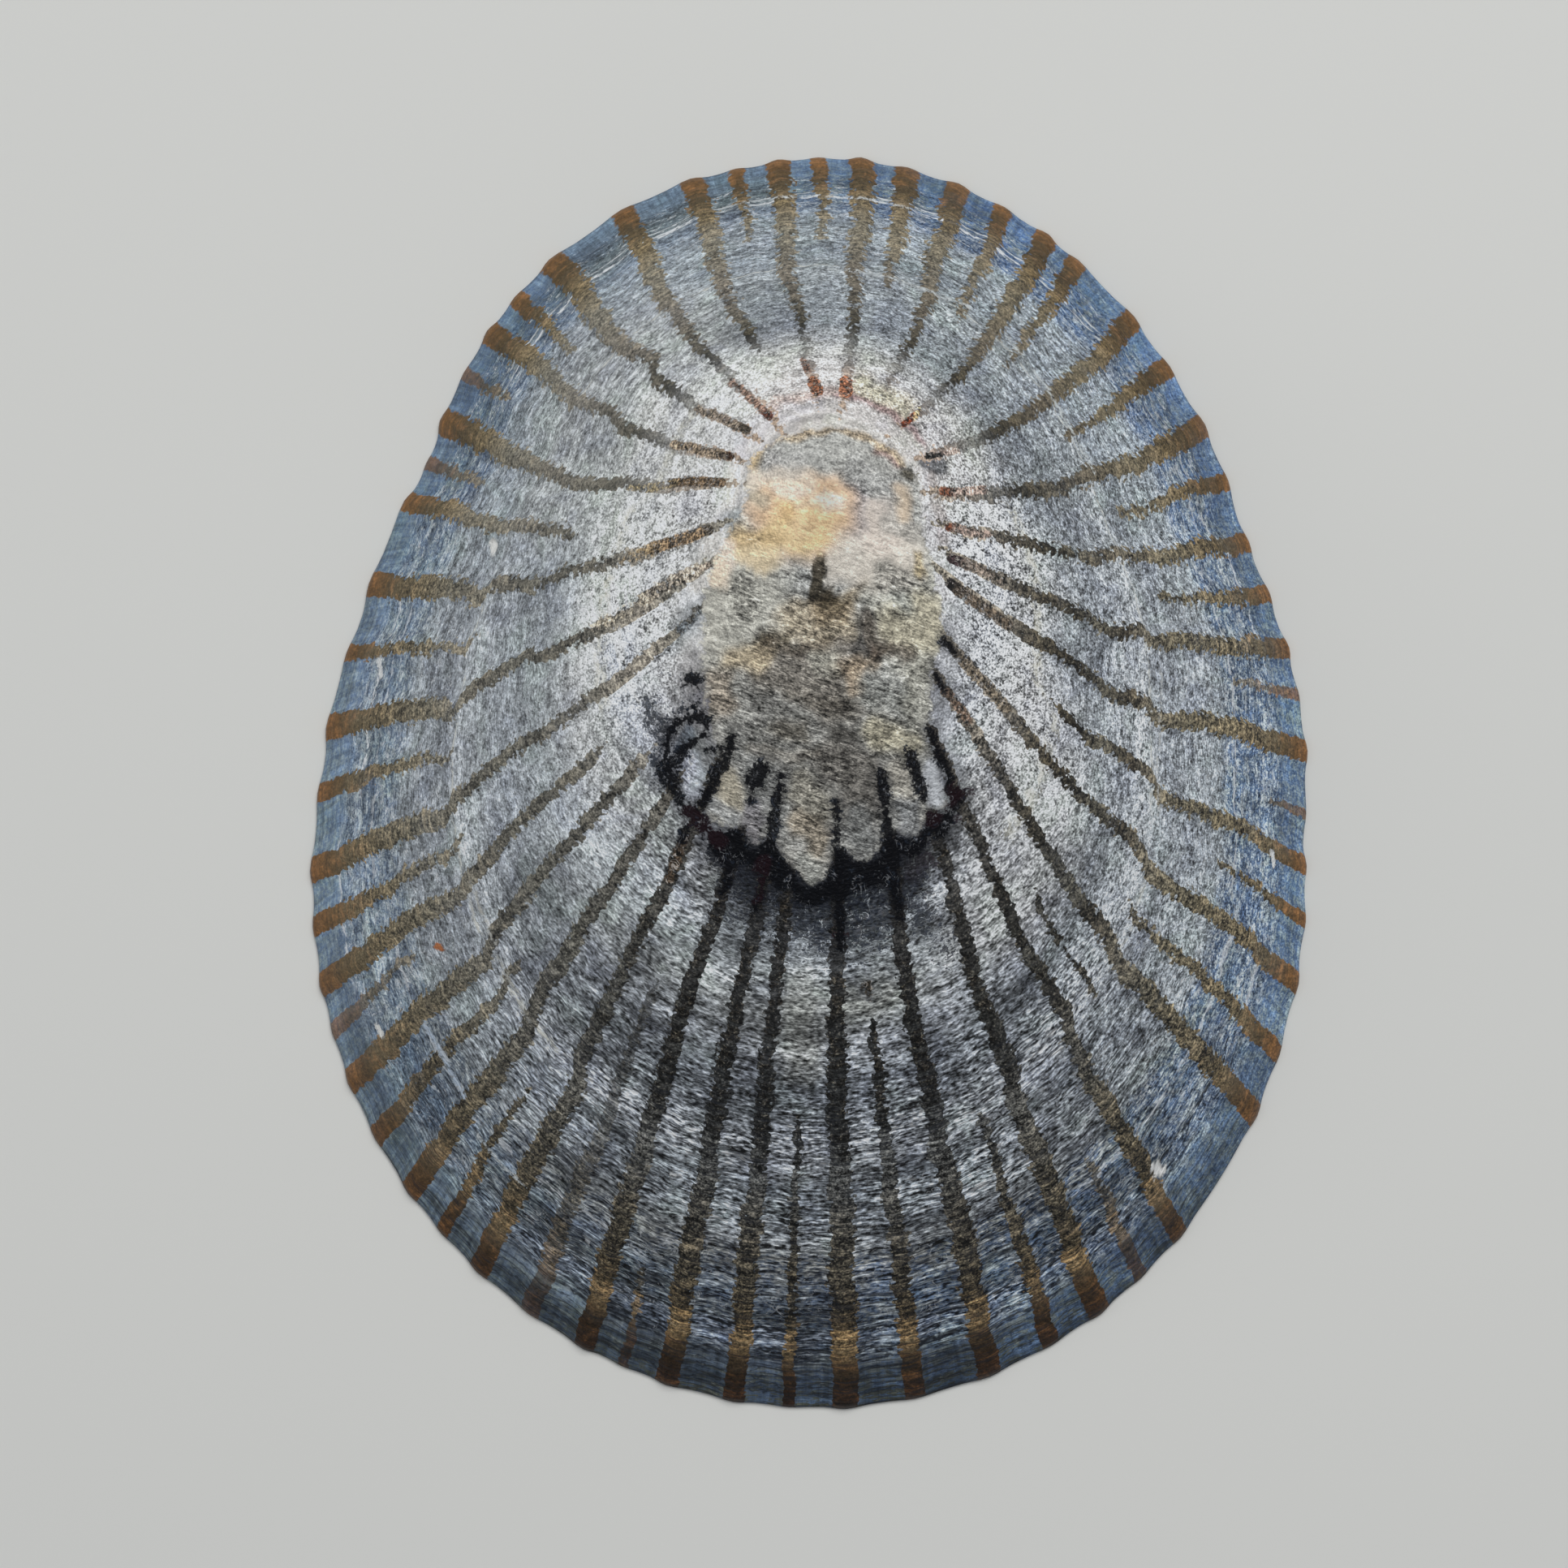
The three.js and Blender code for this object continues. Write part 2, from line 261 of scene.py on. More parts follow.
# Relief along the surface's normal: rounded ribs, two growth checks, faint growth rings
# and the sunken worn patch
def relief(angle, out, wave, strength, patch):
    grown = ease(out, form["ribStart"], 1.1)
    rib = form["ribHeight"] * strength * (0.35 + 0.65 * grown) * np.minimum(1, grown * 8)
    lift = rib * (0.5 + 0.5 * np.cos(2 * math.pi * wave)) ** 1.6
    older = checkAt(angle)
    healed = 1 - ease(out, older, older + 0.15)
    lift = lift - form["olderDrop"] * ease(out, older - 0.006, older + 0.006) * healed
    back = ease(-np.cos(angle * degree), -0.5, 0.6)
    late = 0.905 - 0.02 * (1 - back)
    healed = 1 - ease(out, late, 0.985)
    lift = lift - (0.07 + 0.09 * back) * ease(out, late - 0.004, late + 0.004) * healed
    for ringAt, depth in form["rings"]:
        middle = ringAt + 0.004 * np.sin(3 * angle * degree + ringAt * 40)
        lift = lift - depth * bell(out, middle, 0.006)
    fine = np.sin(out * 290 + 2.2 * np.sin(angle * degree * 2))
    fine = fine + np.sin(out * 431 + 3 * np.cos(angle * degree))
    lift = lift + 0.010 * fine * ease(out, 0.4, 0.6)
    return lift - form["patchDepth"] * ease(patch, -0.15, 0.5)


# The worn patch and the dark marks round it, read off in millimetres from above
wornOutline = [
    (-2.6, 14.9), (-2.1, 15.3), (-1.2, 15.7), (-0.4, 16.1), (0.5, 16.3), (1.3, 16.3), (2.3, 16.1),
    (3.2, 15.6), (4.0, 15.1), (4.7, 14.5), (4.9, 13.4), (5.0, 12.2), (5.2, 11.0), (5.4, 10.0),
    (5.7, 9.0), (5.95, 8.0), (5.95, 7.0), (5.8, 6.1), (5.6, 5.2), (5.5, 4.2), (5.4, 3.2),
    (5.35, 2.2), (5.7, 1.0), (6.1, 0.0), (6.3, -0.7), (6.1, -1.25), (5.6, -1.1), (5.3, -1.2),
    (5.2, -1.9), (4.8, -2.45), (4.3, -2.45), (3.95, -2.1), (3.3, -2.6), (3.1, -3.1), (2.7, -3.55),
    (2.1, -3.6), (1.7, -3.2), (1.2, -3.0), (1.0, -3.5), (0.7, -4.3), (0.1, -4.75), (-0.4, -4.4),
    (-0.7, -3.9), (-1.2, -3.55), (-1.5, -3.1), (-1.8, -2.4), (-2.2, -2.5), (-2.5, -2.95),
    (-2.85, -2.6), (-3.0, -1.9), (-3.4, -2.0), (-4.1, -2.0), (-4.6, -1.7), (-4.85, -1.1),
    (-4.5, -0.3), (-4.2, 0.8), (-4.3, 1.7), (-4.55, 2.3), (-4.75, 3.2), (-4.85, 4.2), (-4.9, 5.2),
    (-4.95, 6.2), (-5.0, 7.2), (-5.0, 8.2), (-4.85, 9.0), (-4.5, 9.9), (-4.1, 10.6), (-3.8, 11.5),
    (-3.1, 12.4), (-2.9, 13.4), (-2.9, 14.3),
]

# Black lines: half-width, then the points they run through
inkLines = [
    (0.31, [(-3.65, 2.0), (-3.8, 1.3), (-4.2, 0.6)]),
    (0.28, [(-4.2, 0.6), (-4.6, -0.2), (-5.0, -0.9)]),
    (0.12, [(-4.1, 1.6), (-4.8, 1.5)]),
    (0.46, [(-2.3, 0.6), (-2.6, 0.1)]),
    (0.12, [(-2.65, 0.0), (-2.75, -0.8)]),
    (0.24, [(-1.4, 0.3), (-1.5, -0.6), (-1.75, -1.6), (-1.8, -2.4)]),
    (0.14, [(1.15, -0.9), (1.15, -1.8), (1.2, -2.8)]),
    (0.27, [(3.2, 0.4), (3.35, -0.6), (3.45, -1.6), (3.6, -2.8)]),
    (0.29, [(4.5, 1.3), (4.75, 0.5), (5.0, -0.2)]),
    (0.16, [(5.0, -0.2), (5.25, -0.9)]),
    (0.23, [(5.45, 2.45), (5.6, 1.8), (6.0, 1.0), (6.3, 0.3), (6.35, -0.6)]),
    (0.15, [(5.6, 5.1), (5.8, 4.6), (6.05, 4.3)]),
    (0.22, [(6.1, 6.45), (6.55, 6.0)]),
    (0.22, [(-4.75, 2.9), (-4.8, 2.3), (-5.3, 1.9), (-5.8, 1.6), (-6.1, 1.0), (-6.3, 0.4),
      (-6.2, -0.3), (-5.9, -0.9)]),
    (0.26, [(-4.9, 3.0), (-5.4, 2.95), (-5.9, 2.9), (-6.4, 2.4), (-6.6, 1.8)]),
    (0.15, [(-6.6, 1.8), (-6.7, 1.2), (-6.9, 0.7), (-6.8, 0.2), (-6.4, -0.3)]),
    (0.27, [(-6.5, 0.9), (-6.45, 0.0)]),
    (0.18, [(-5.75, -1.9), (-5.9, -2.6)]),
    (0.26, [(-5.6, 4.75), (-5.15, 4.7)]),
    (0.10, [(-5.2, 4.5), (-5.25, 3.9), (-5.35, 3.4)]),
    (0.09, [(-5.9, 4.2), (-5.7, 4.6)]),
    (0.24, [(1.3, -5.2), (1.35, -6.4), (1.4, -7.6)]),
    (0.24, [(-3.7, -3.4), (-3.85, -4.3), (-4.05, -5.1)]),
    (0.22, [(-2.1, -4.2), (-2.3, -4.9), (-2.6, -5.8)]),
    (0.24, [(3.75, -4.0), (3.95, -5.2), (4.15, -6.2)]),
]

# The black crust along the patch's lower edge, as a closed outline
inkOutline = [
    (-6.0, -0.7), (-5.3, -1.0), (-4.95, -1.3), (-4.6, -2.0), (-4.0, -2.15), (-3.2, -2.1),
    (-3.0, -2.8), (-2.5, -3.0), (-2.1, -2.5), (-1.7, -2.4), (-1.45, -3.2), (-0.95, -3.9),
    (-0.6, -4.5), (0.0, -4.8), (0.65, -4.5), (0.95, -3.7), (1.05, -2.9), (1.5, -3.0), (1.9, -3.5),
    (2.6, -3.65), (3.1, -3.3), (3.3, -2.7), (3.8, -2.3), (4.3, -2.6), (4.9, -2.55), (5.2, -2.0),
    (5.35, -1.3), (6.0, -1.35), (6.35, -0.9), (6.4, -0.1), (7.0, 0.0), (7.05, -0.8), (6.6, -1.5),
    (6.3, -2.3), (5.9, -2.6), (5.4, -2.3), (5.2, -3.1), (4.8, -3.5), (4.2, -3.4), (4.0, -4.3),
    (3.6, -4.6), (3.0, -4.8), (2.0, -4.9), (1.6, -5.6), (1.1, -5.6), (0.9, -5.3), (0.2, -5.7),
    (-0.6, -5.5), (-0.9, -4.9), (-1.7, -4.9), (-2.0, -4.3), (-2.4, -4.3), (-3.0, -3.6),
    (-3.5, -3.8), (-3.9, -3.9), (-4.5, -3.3), (-5.0, -2.4), (-5.4, -1.8), (-6.1, -1.4),
]


# Shortest distance from every point to a chain of points
def chainDistance(xy, chain):
    best = np.full(len(xy), 1e9)
    for (ax, ay), (bx, by) in zip(chain[:-1], chain[1:]):
        dx, dy = bx - ax, by - ay
        t = np.clip(((xy[:, 0] - ax) * dx + (xy[:, 1] - ay) * dy) / (dx * dx + dy * dy + 1e-9), 0, 1)
        best = np.minimum(best, np.hypot(xy[:, 0] - ax - t * dx, xy[:, 1] - ay - t * dy))
    return best


# Whether a point is inside a closed outline: an odd number of its sides lie to the right
def insideOutline(xy, outline):
    inside = np.zeros(len(xy), bool)
    for (ax, ay), (bx, by) in zip(outline, outline[1:] + outline[:1]):
        crosses = (ay > xy[:, 1]) != (by > xy[:, 1])
        height = np.where(by == ay, 1e-9, by - ay)
        inside ^= crosses & (xy[:, 0] < (bx - ax) * (xy[:, 1] - ay) / height + ax)
    return inside


# Signed distance to an outline, positive inside
def outlineLevel(xy, outline):
    distance = chainDistance(xy, outline + outline[:1])
    return np.where(insideOutline(xy, outline), distance, -distance)


# Level of the black marks: half-width less distance, the highest of all lines and the crust
def inkLevel(xy):
    level = np.full(len(xy), -3.0)
    for halfWidth, chain in inkLines:
        level = np.maximum(level, halfWidth - chainDistance(xy, chain))
    return np.maximum(level, outlineLevel(xy, inkOutline))


# Colour from 0 to 255 screen values, as the linear values that shaders take
def tone(red, green, blue):
    screen = np.array([red, green, blue]) / 255
    linear = np.where(screen <= 0.04045, screen / 12.92, ((screen + 0.055) / 1.055) ** 2.4)
    return (float(linear[0]), float(linear[1]), float(linear[2]), 1.0)


# The tones of these strokes and of the outside's ramps were fitted to the photo's mean
# colours by a script and by printed tables, as report.md says; only the chips' mostly weren't

# Soft tints in the worn patch, two of them painted glints: colour, strength, half-width, softness,
# points
softTints = [
    ((158, 159, 156), 1.00, 3.4, 2.6, [(0.9, 11.5), (0.7, 5.0), (0.8, 1.5)]),
    ((186, 184, 173), 0.80, 1.2, 1.6, [(-3.2, 9.0), (-3.2, 6.8)]),
    ((158, 157, 147), 0.80, 1.2, 1.6, [(4.0, 9.0), (4.6, 6.8)]),
    ((126, 125, 120), 0.85, 1.4, 1.8, [(-2.2, 3.8), (0.5, 3.0), (2.2, 1.6), (0.8, 0.2)]),
    ((121, 115, 106), 0.75, 0.6, 1.0, [(-1.6, 5.2), (0.0, 5.0), (0.8, 4.0)]),
    ((105, 101, 95), 0.80, 0.6, 0.9, [(1.2, 1.0), (2.3, 0.4), (2.4, -1.2)]),
    ((180, 173, 151), 0.85, 0.5, 0.9, [(3.8, 7.0), (5.2, 6.8), (5.2, 7.8)]),
    ((170, 155, 128), 0.70, 0.5, 0.9, [(-0.6, 7.4), (1.2, 6.9)]),
    ((191, 175, 146), 0.80, 0.30, 0.6, [(-3.5, 5.7), (-2.3, 5.7)]),
    ((151, 140, 125), 0.80, 0.25, 0.6, [(-4.3, 4.7), (-4.1, 3.5)]),
    ((123, 107, 86), 0.80, 0.15, 0.5, [(1.3, 5.3), (2.9, 5.4)]),
    ((196, 177, 152), 0.80, 0.20, 0.5, [(1.9, 5.0), (2.0, 4.4)]),
    ((179, 177, 164), 0.70, 0.20, 0.4, [(0.2, 5.5), (0.9, 5.4)]),
    ((177, 170, 147), 0.75, 0.30, 0.7, [(3.1, 2.3), (4.5, 1.8)]),
    ((119, 120, 115), 0.75, 0.45, 0.7, [(2.7, 4.2), (4.0, 3.9)]),
    ((140, 138, 126), 0.60, 0.30, 0.7, [(4.8, 5.0), (4.8, 3.0)]),
    ((39, 35, 30), 0.75, 0.15, 0.5, [(1.0, 2.4), (1.9, 2.3)]),
    ((96, 90, 78), 0.65, 0.15, 0.5, [(-1.6, 2.5), (-0.4, 2.3)]),
    ((81, 73, 57), 0.85, 0.14, 0.45, [(-2.2, 6.6), (-1.3, 6.6)]),
    ((138, 123, 100), 0.85, 0.20, 0.50, [(0.3, 7.7), (1.3, 7.7)]),
    ((115, 103, 82), 0.85, 0.16, 0.40, [(2.15, 9.0), (1.9, 8.4), (1.2, 8.1), (0.7, 8.15)]),
    ((79, 76, 73), 0.85, 0.25, 0.50, [(2.5, 7.2), (3.0, 6.3), (2.6, 6.1), (1.4, 6.2)]),
    ((69, 54, 42), 0.65, 0.15, 0.40, [(3.0, 5.9), (4.4, 5.9)]),
    ((111, 110, 103), 0.65, 0.40, 0.60, [(-3.2, 8.7), (-3.0, 8.0)]),
    ((109, 113, 109), 0.60, 0.20, 0.50, [(3.8, 8.5), (4.2, 8.1)]),
    ((234, 225, 212), 0.85, 0.9, 1.2, [(1.4, 10.6), (3.6, 10.4)]),
    ((227, 213, 201), 0.70, 0.5, 0.9, [(2.7, 12.2), (3.2, 11.2)]),
    ((173, 170, 163), 0.75, 0.25, 0.5, [(3.6, 11.8), (4.4, 11.4)]),
    ((128, 126, 136), 0.62, 0.30, 0.60, [(2.0, 13.2), (1.9, 12.4), (1.8, 11.8)]),
    ((240, 205, 168), 0.95, 0.8, 1.5, [(-1.3, 12.7), (0.3, 12.5), (-0.4, 11.7)]),
    ((238, 202, 148), 0.90, 0.35, 0.9, [(-0.9, 12.0), (0.4, 12.0), (0.2, 11.4)]),
    ((246, 216, 186), 0.80, 0.35, 0.6, [(-1.2, 13.3), (-0.3, 13.2)]),
    # painted glints: the two tiny near-white dots at the top of the worn patch
    ((252, 236, 222), 0.90, 0.12, 0.40, [(0.4, 12.7), (1.1, 12.6)]),
    ((252, 226, 193), 0.80, 0.10, 0.30, [(-0.5, 12.5), (-0.2, 12.4)]),
    ((240, 214, 166), 0.85, 0.30, 0.8, [(-1.4, 11.3), (-0.4, 10.9)]),
    ((205, 179, 135), 0.90, 0.35, 0.7, [(-3.4, 10.9), (-2.0, 10.9)]),
    ((235, 214, 176), 0.80, 0.25, 0.5, [(-3.2, 10.3), (-2.0, 10.1)]),
    ((251, 234, 220), 0.75, 0.25, 0.5, [(-4.0, 10.7), (-3.9, 10.2)]),
    ((252, 230, 203), 0.70, 0.20, 0.5, [(-4.3, 9.9), (-4.3, 9.3)]),
    ((140, 138, 131), 0.80, 0.30, 0.5, [(3.3, 9.45), (4.5, 9.3)]),
    ((179, 179, 163), 0.60, 0.15, 0.5, [(-2.3, 12.8), (-2.7, 13.4)]),
    ((178, 178, 173), 0.95, 0.75, 0.6, [(-1.4, 14.8), (0.6, 15.2), (2.2, 15.1), (3.2, 14.5)]),
    ((156, 154, 153), 0.70, 0.15, 0.6, [(-1.7, 14.6), (-0.6, 14.5)]),
    ((171, 171, 168), 0.85, 0.30, 0.6, [(1.9, 14.2), (2.8, 13.6), (3.6, 13.5)]),
    ((130, 105, 98), 0.85, 0.15, 0.35, [(3.2, 15.2), (3.8, 14.7)]),
    ((73, 68, 56), 0.92, 0.16, 0.35, [(4.2, 14.2), (4.75, 14.15)]),
    ((166, 150, 126), 0.92, 0.12, 0.24, [(-2.2, 15.3), (-1.0, 15.8), (0.2, 16.05), (1.2, 16.15),
      (2.1, 15.95), (3.0, 15.6), (3.6, 15.2), (4.1, 14.8)]),
    ((196, 172, 130), 0.85, 0.09, 0.35, [(-2.6, 14.4), (-2.4, 15.1)]),
    ((226, 200, 168), 0.60, 0.10, 0.45, [(4.1, 13.3), (4.15, 12.3)]),
    ((157, 142, 110), 0.85, 0.10, 0.28, [(4.8, 10.2), (4.85, 9.6)]),
    ((56, 50, 38), 0.95, 0.24, 0.24, [(0.45, 9.9), (0.3, 9.2), (0.35, 8.6), (0.7, 8.25)]),
    ((141, 137, 125), 0.75, 0.50, 0.6, [(-0.4, -0.3), (0.3, -1.0)]),
    ((134, 124, 108), 0.85, 0.30, 0.6, [(-0.6, -1.8), (0.4, -2.3), (0.3, -3.0)]),
    ((130, 132, 127), 0.75, 0.30, 0.5, [(-0.2, -3.6), (0.1, -4.3)]),
    ((108, 110, 109), 0.75, 0.40, 0.6, [(2.2, -1.6), (2.4, -3.0)]),
    ((189, 180, 159), 0.80, 0.35, 0.5, [(-3.9, 0.1), (-3.7, -1.0)]),
    ((167, 170, 171), 0.75, 0.20, 0.4, [(-3.6, -1.7), (-4.5, -1.0)]),
    ((111, 108, 114), 0.75, 0.30, 0.4, [(-2.6, -1.2), (-2.7, -2.4)]),
    ((179, 174, 162), 0.80, 0.25, 0.5, [(4.0, 0.5), (4.2, -0.4)]),
    ((107, 110, 114), 0.70, 0.35, 0.4, [(4.4, -1.3), (4.5, -2.1)]),
    ((207, 211, 217), 0.80, 0.35, 0.4, [(5.7, 0.6), (5.8, -0.7)]),
    ((240, 226, 208), 0.60, 0.25, 0.5, [(-2.5, 13.8), (-1.2, 13.95), (-0.2, 13.5)]),
    ((246, 214, 174), 0.55, 0.35, 0.6, [(-0.4, 11.7), (0.8, 11.7)]),
    ((250, 238, 226), 0.55, 0.12, 0.4, [(-1.4, 13.2), (-0.7, 13.1)]),
    ((190, 190, 186), 0.60, 0.25, 0.4, [(-1.1, 14.7), (0.1, 14.7)]),
    ((224, 222, 219), 0.92, 0.16, 0.22, [(-3.3, 14.4), (-2.9, 15.2), (-2.0, 15.95), (-1.0, 16.3),
      (0.2, 16.5), (1.6, 16.55), (2.8, 16.2), (3.7, 15.7), (4.5, 14.9)]),
    ((92, 80, 64), 0.60, 0.14, 0.35, [(-2.0, 6.3), (-0.8, 6.0), (0.6, 6.3)]),
    ((86, 78, 68), 0.60, 0.14, 0.35, [(2.4, 7.6), (2.7, 6.6), (3.4, 6.0)]),
    ((100, 94, 84), 0.50, 0.16, 0.45, [(-1.0, 4.0), (0.8, 3.4), (2.0, 3.2)]),
    ((96, 88, 76), 0.50, 0.16, 0.40, [(-2.8, 1.6), (-1.2, 1.1), (0.2, 1.4)]),
]

# Soft tints outside the patch, laid before it: the pale halo, lilac edge and black shade
roundTints = [
    ((232, 234, 231), 0.82, 1.4, 3.4, [(-6.4, 9.6), (-6.2, 13.4), (-5.0, 16.6)]),
    ((190, 193, 191), 0.55, 1.6, 3.0, [(-10.6, 13.8), (-9.4, 17.6), (-6.8, 20.6)]),
    ((198, 198, 199), 0.60, 1.2, 2.6, [(9.6, 3.4), (10.2, 0.2), (9.8, -3.4), (8.4, -5.6)]),
    ((210, 209, 209), 0.55, 0.9, 1.8, [(-4.6, 13.0), (-2.6, 16.4), (1.0, 17.6), (4.4, 16.2),
      (5.8, 13.0), (6.0, 10.0)]),
    ((235, 235, 234), 0.55, 0.6, 1.8, [(-4.9, 13.0), (-5.2, 10.2), (-5.8, 8.4)]),
    ((193, 197, 203), 0.50, 0.5, 1.6, [(6.2, 10.0), (6.6, 7.4), (6.6, 5.0), (6.6, 2.4)]),
    ((224, 214, 188), 0.75, 0.35, 0.7, [(2.1, 18.2), (3.0, 17.8), (4.0, 17.3)]),
    ((196, 171, 160), 0.60, 0.20, 0.4, [(-1.5, 17.3), (0.2, 17.8), (1.6, 17.75)]),
    ((143, 116, 118), 0.85, 0.10, 0.35, [(1.4, 17.6), (2.5, 17.4), (3.4, 17.05), (4.2, 16.6),
      (4.7, 16.1), (4.9, 15.5), (5.05, 15.1)]),
    ((222, 218, 215), 0.92, 0.30, 0.35, [(-3.5, 14.2), (-3.1, 15.3), (-2.0, 16.3), (-0.8, 16.9),
      (0.6, 17.1), (2.0, 16.95), (3.2, 16.4), (4.2, 15.7), (4.9, 14.8), (5.3, 13.9)]),
    ((214, 212, 214), 0.85, 0.20, 0.35, [(5.3, 13.9), (5.5, 12.8), (5.7, 11.3), (5.9, 10.0),
      (6.1, 8.6)]),
    ((230, 226, 220), 0.80, 0.15, 0.4, [(-3.6, 13.8), (-3.8, 12.4), (-4.3, 11.5), (-4.7, 10.4),
      (-5.1, 9.0)]),
    ((166, 171, 179), 0.70, 0.15, 0.4, [(-3.2, 12.1), (-4.0, 11.9)]),
    ((60, 63, 71), 0.85, 0.25, 0.3, [(5.4, 14.6), (5.9, 14.5)]),
    ((116, 104, 98), 0.60, 0.15, 0.35, [(5.6, 13.9), (5.9, 12.6), (6.2, 11.2)]),
    ((148, 154, 159), 0.65, 0.25, 0.7, [(-5.2, 7.7), (-6.0, 7.0), (-6.9, 6.3)]),
    ((174, 178, 187), 0.95, 0.42, 0.25, [(-5.45, 0.9), (-5.3, -0.3)]),
    ((92, 100, 110), 0.85, 0.20, 0.25, [(-5.5, 2.4), (-6.0, 1.7)]),
    ((148, 150, 152), 0.55, 0.4, 0.9, [(-4.9, -3.6), (-5.2, -5.6)]),
    ((120, 124, 128), 0.50, 0.5, 1.1, [(-3.3, -5.4), (-3.6, -7.6)]),
    ((62, 66, 70), 0.42, 1.0, 1.8, [(-7.0, -8.6), (-6.0, -10.6), (-5.4, -13.0)]),
    ((48, 51, 56), 0.45, 0.8, 1.4, [(-1.6, -14.9), (0.6, -15.1)]),
    ((158, 158, 146), 0.40, 0.5, 1.0, [(-0.5, -9.6), (-0.4, -13.0)]),
    ((152, 152, 138), 0.40, 0.5, 0.9, [(1.9, -10.2), (3.3, -9.9)]),
    ((60, 63, 68), 0.35, 0.7, 1.4, [(4.6, -7.4), (5.0, -11.0)]),
    ((76, 79, 84), 0.35, 0.5, 1.4, [(9.0, -7.2), (10.2, -11.2), (10.6, -12.6)]),
    ((150, 154, 160), 0.35, 0.8, 1.6, [(8.6, -16.0), (10.6, -17.2), (12.6, -16.0)]),
    ((96, 100, 105), 0.35, 0.8, 1.6, [(-9.0, -5.4), (-11.0, -5.2), (-13.0, -5.0)]),
    ((222, 222, 218), 0.55, 0.8, 1.4, [(-6.4, 17.2), (-6.6, 15.2), (-6.8, 14.6)]),
    ((176, 180, 184), 0.40, 0.8, 1.6, [(-9.4, 20.0), (-10.8, 20.6), (-11.6, 17.2)]),
    ((92, 98, 108), 0.35, 0.8, 1.6, [(12.2, 5.2), (12.6, 6.6)]),
    ((196, 198, 200), 0.40, 0.8, 1.5, [(8.8, 10.2), (10.6, 8.6)]),
    ((106, 130, 156), 0.50, 0.5, 0.6, [(-20.5, -12.4), (-19.5, -14.4), (-18.5, -16.2)]),
    ((190, 192, 194), 0.42, 0.5, 1.0, [(8.0, -3.5), (9.3, -4.6)]),
]

# Blue-black shade round the ink, laid in splotches
shadeTints = [
    ((50, 58, 70), 0.27, 0.5, 1.2, [(-6.4, 4.6), (-6.9, 3.0), (-6.6, 1.0)]),
    ((26, 31, 40), 0.44, 0.16, 0.45, [(-5.5, 3.5), (-6.3, 2.9), (-6.9, 1.6), (-7.0, 0.2),
      (-6.3, -0.8)]),
    ((34, 38, 44), 0.46, 0.20, 0.4, [(-7.4, 3.7), (-7.2, 2.7), (-6.9, 2.3)]),
    ((60, 66, 76), 0.16, 0.3, 0.8, [(-7.4, -0.8), (-8.4, -1.8)]),
    ((18, 22, 31), 1.00, 0.7, 1.0, [(-3.5, -3.3), (-1.6, -4.6), (0.4, -5.8), (2.6, -5.4),
      (4.4, -3.4)]),
    ((24, 30, 42), 0.78, 0.8, 1.1, [(0.6, -5.9), (2.6, -5.9)]),
    ((36, 40, 48), 0.42, 0.7, 1.6, [(-3.4, -5.6), (-1.0, -7.0), (2.0, -7.4), (4.2, -6.0)]),
    ((42, 28, 34), 0.55, 0.28, 0.5, [(5.2, -1.9), (6.4, -1.4), (6.9, -0.4)]),
    ((50, 40, 44), 0.50, 0.20, 0.5, [(4.6, -4.0), (5.9, -3.4)]),
    ((34, 38, 46), 0.42, 0.5, 1.4, [(5.0, -4.8), (5.8, -6.0), (6.6, -7.8)]),
]

# Small chips and stains: colour, strength, half-width, softness, points
chips = [
    ((238, 238, 236), 0.95, 0.20, 0.14, [(17.0, -18.8), (17.4, -19.0), (17.2, -19.2)]),
    ((236, 236, 232), 0.90, 0.14, 0.12, [(-15.25, 11.75), (-15.2, 11.25)]),
    ((176, 112, 72), 0.75, 0.12, 0.16, [(-18.0, -7.85), (-17.8, -8.0)]),
    ((226, 228, 228), 0.70, 0.08, 0.14, [(-21.2, 6.1), (-21.1, 5.3)]),
    ((228, 230, 230), 0.70, 0.07, 0.12, [(22.8, -3.3), (23.0, -4.1)]),
    ((226, 226, 222), 0.70, 0.10, 0.14, [(-21.3, -12.0), (-21.1, -12.4)]),
    ((206, 208, 208), 0.55, 0.07, 0.12, [(-7.0, -18.9), (-6.3, -18.7), (-5.6, -18.9)]),
    ((216, 216, 212), 0.55, 0.06, 0.10, [(-17.9, -12.6), (-17.6, -13.6)]),
    ((184, 184, 178), 0.50, 0.07, 0.16, [(-16.2, -4.8), (-15.3, -7.2), (-14.3, -9.4),
      (-13.3, -11.4)]),
    ((196, 198, 196), 0.46, 0.05, 0.14, [(16.8, 5.4), (16.7, 3.0), (16.6, 0.8), (16.6, -1.6)]),
    ((206, 212, 214), 0.42, 0.05, 0.14, [(-4.4, 28.35), (-2.0, 28.75), (0.4, 28.85), (2.8, 28.7),
      (5.0, 28.2)]),
    ((204, 210, 212), 0.50, 0.06, 0.13, [(0.8, 24.6), (3.2, 24.3), (5.8, 23.5), (7.8, 22.75)]),
    ((206, 212, 212), 0.50, 0.06, 0.14, [(9.4, 21.5), (11.4, 18.8), (12.6, 16.7), (13.6, 14.8)]),
    ((172, 186, 202), 0.52, 0.08, 0.18, [(-18.8, -11.6), (-17.7, -13.6), (-16.8, -15.3)]),
    ((196, 202, 204), 0.48, 0.06, 0.15, [(-16.2, -17.2), (-14.9, -18.8), (-13.8, -19.7)]),
]


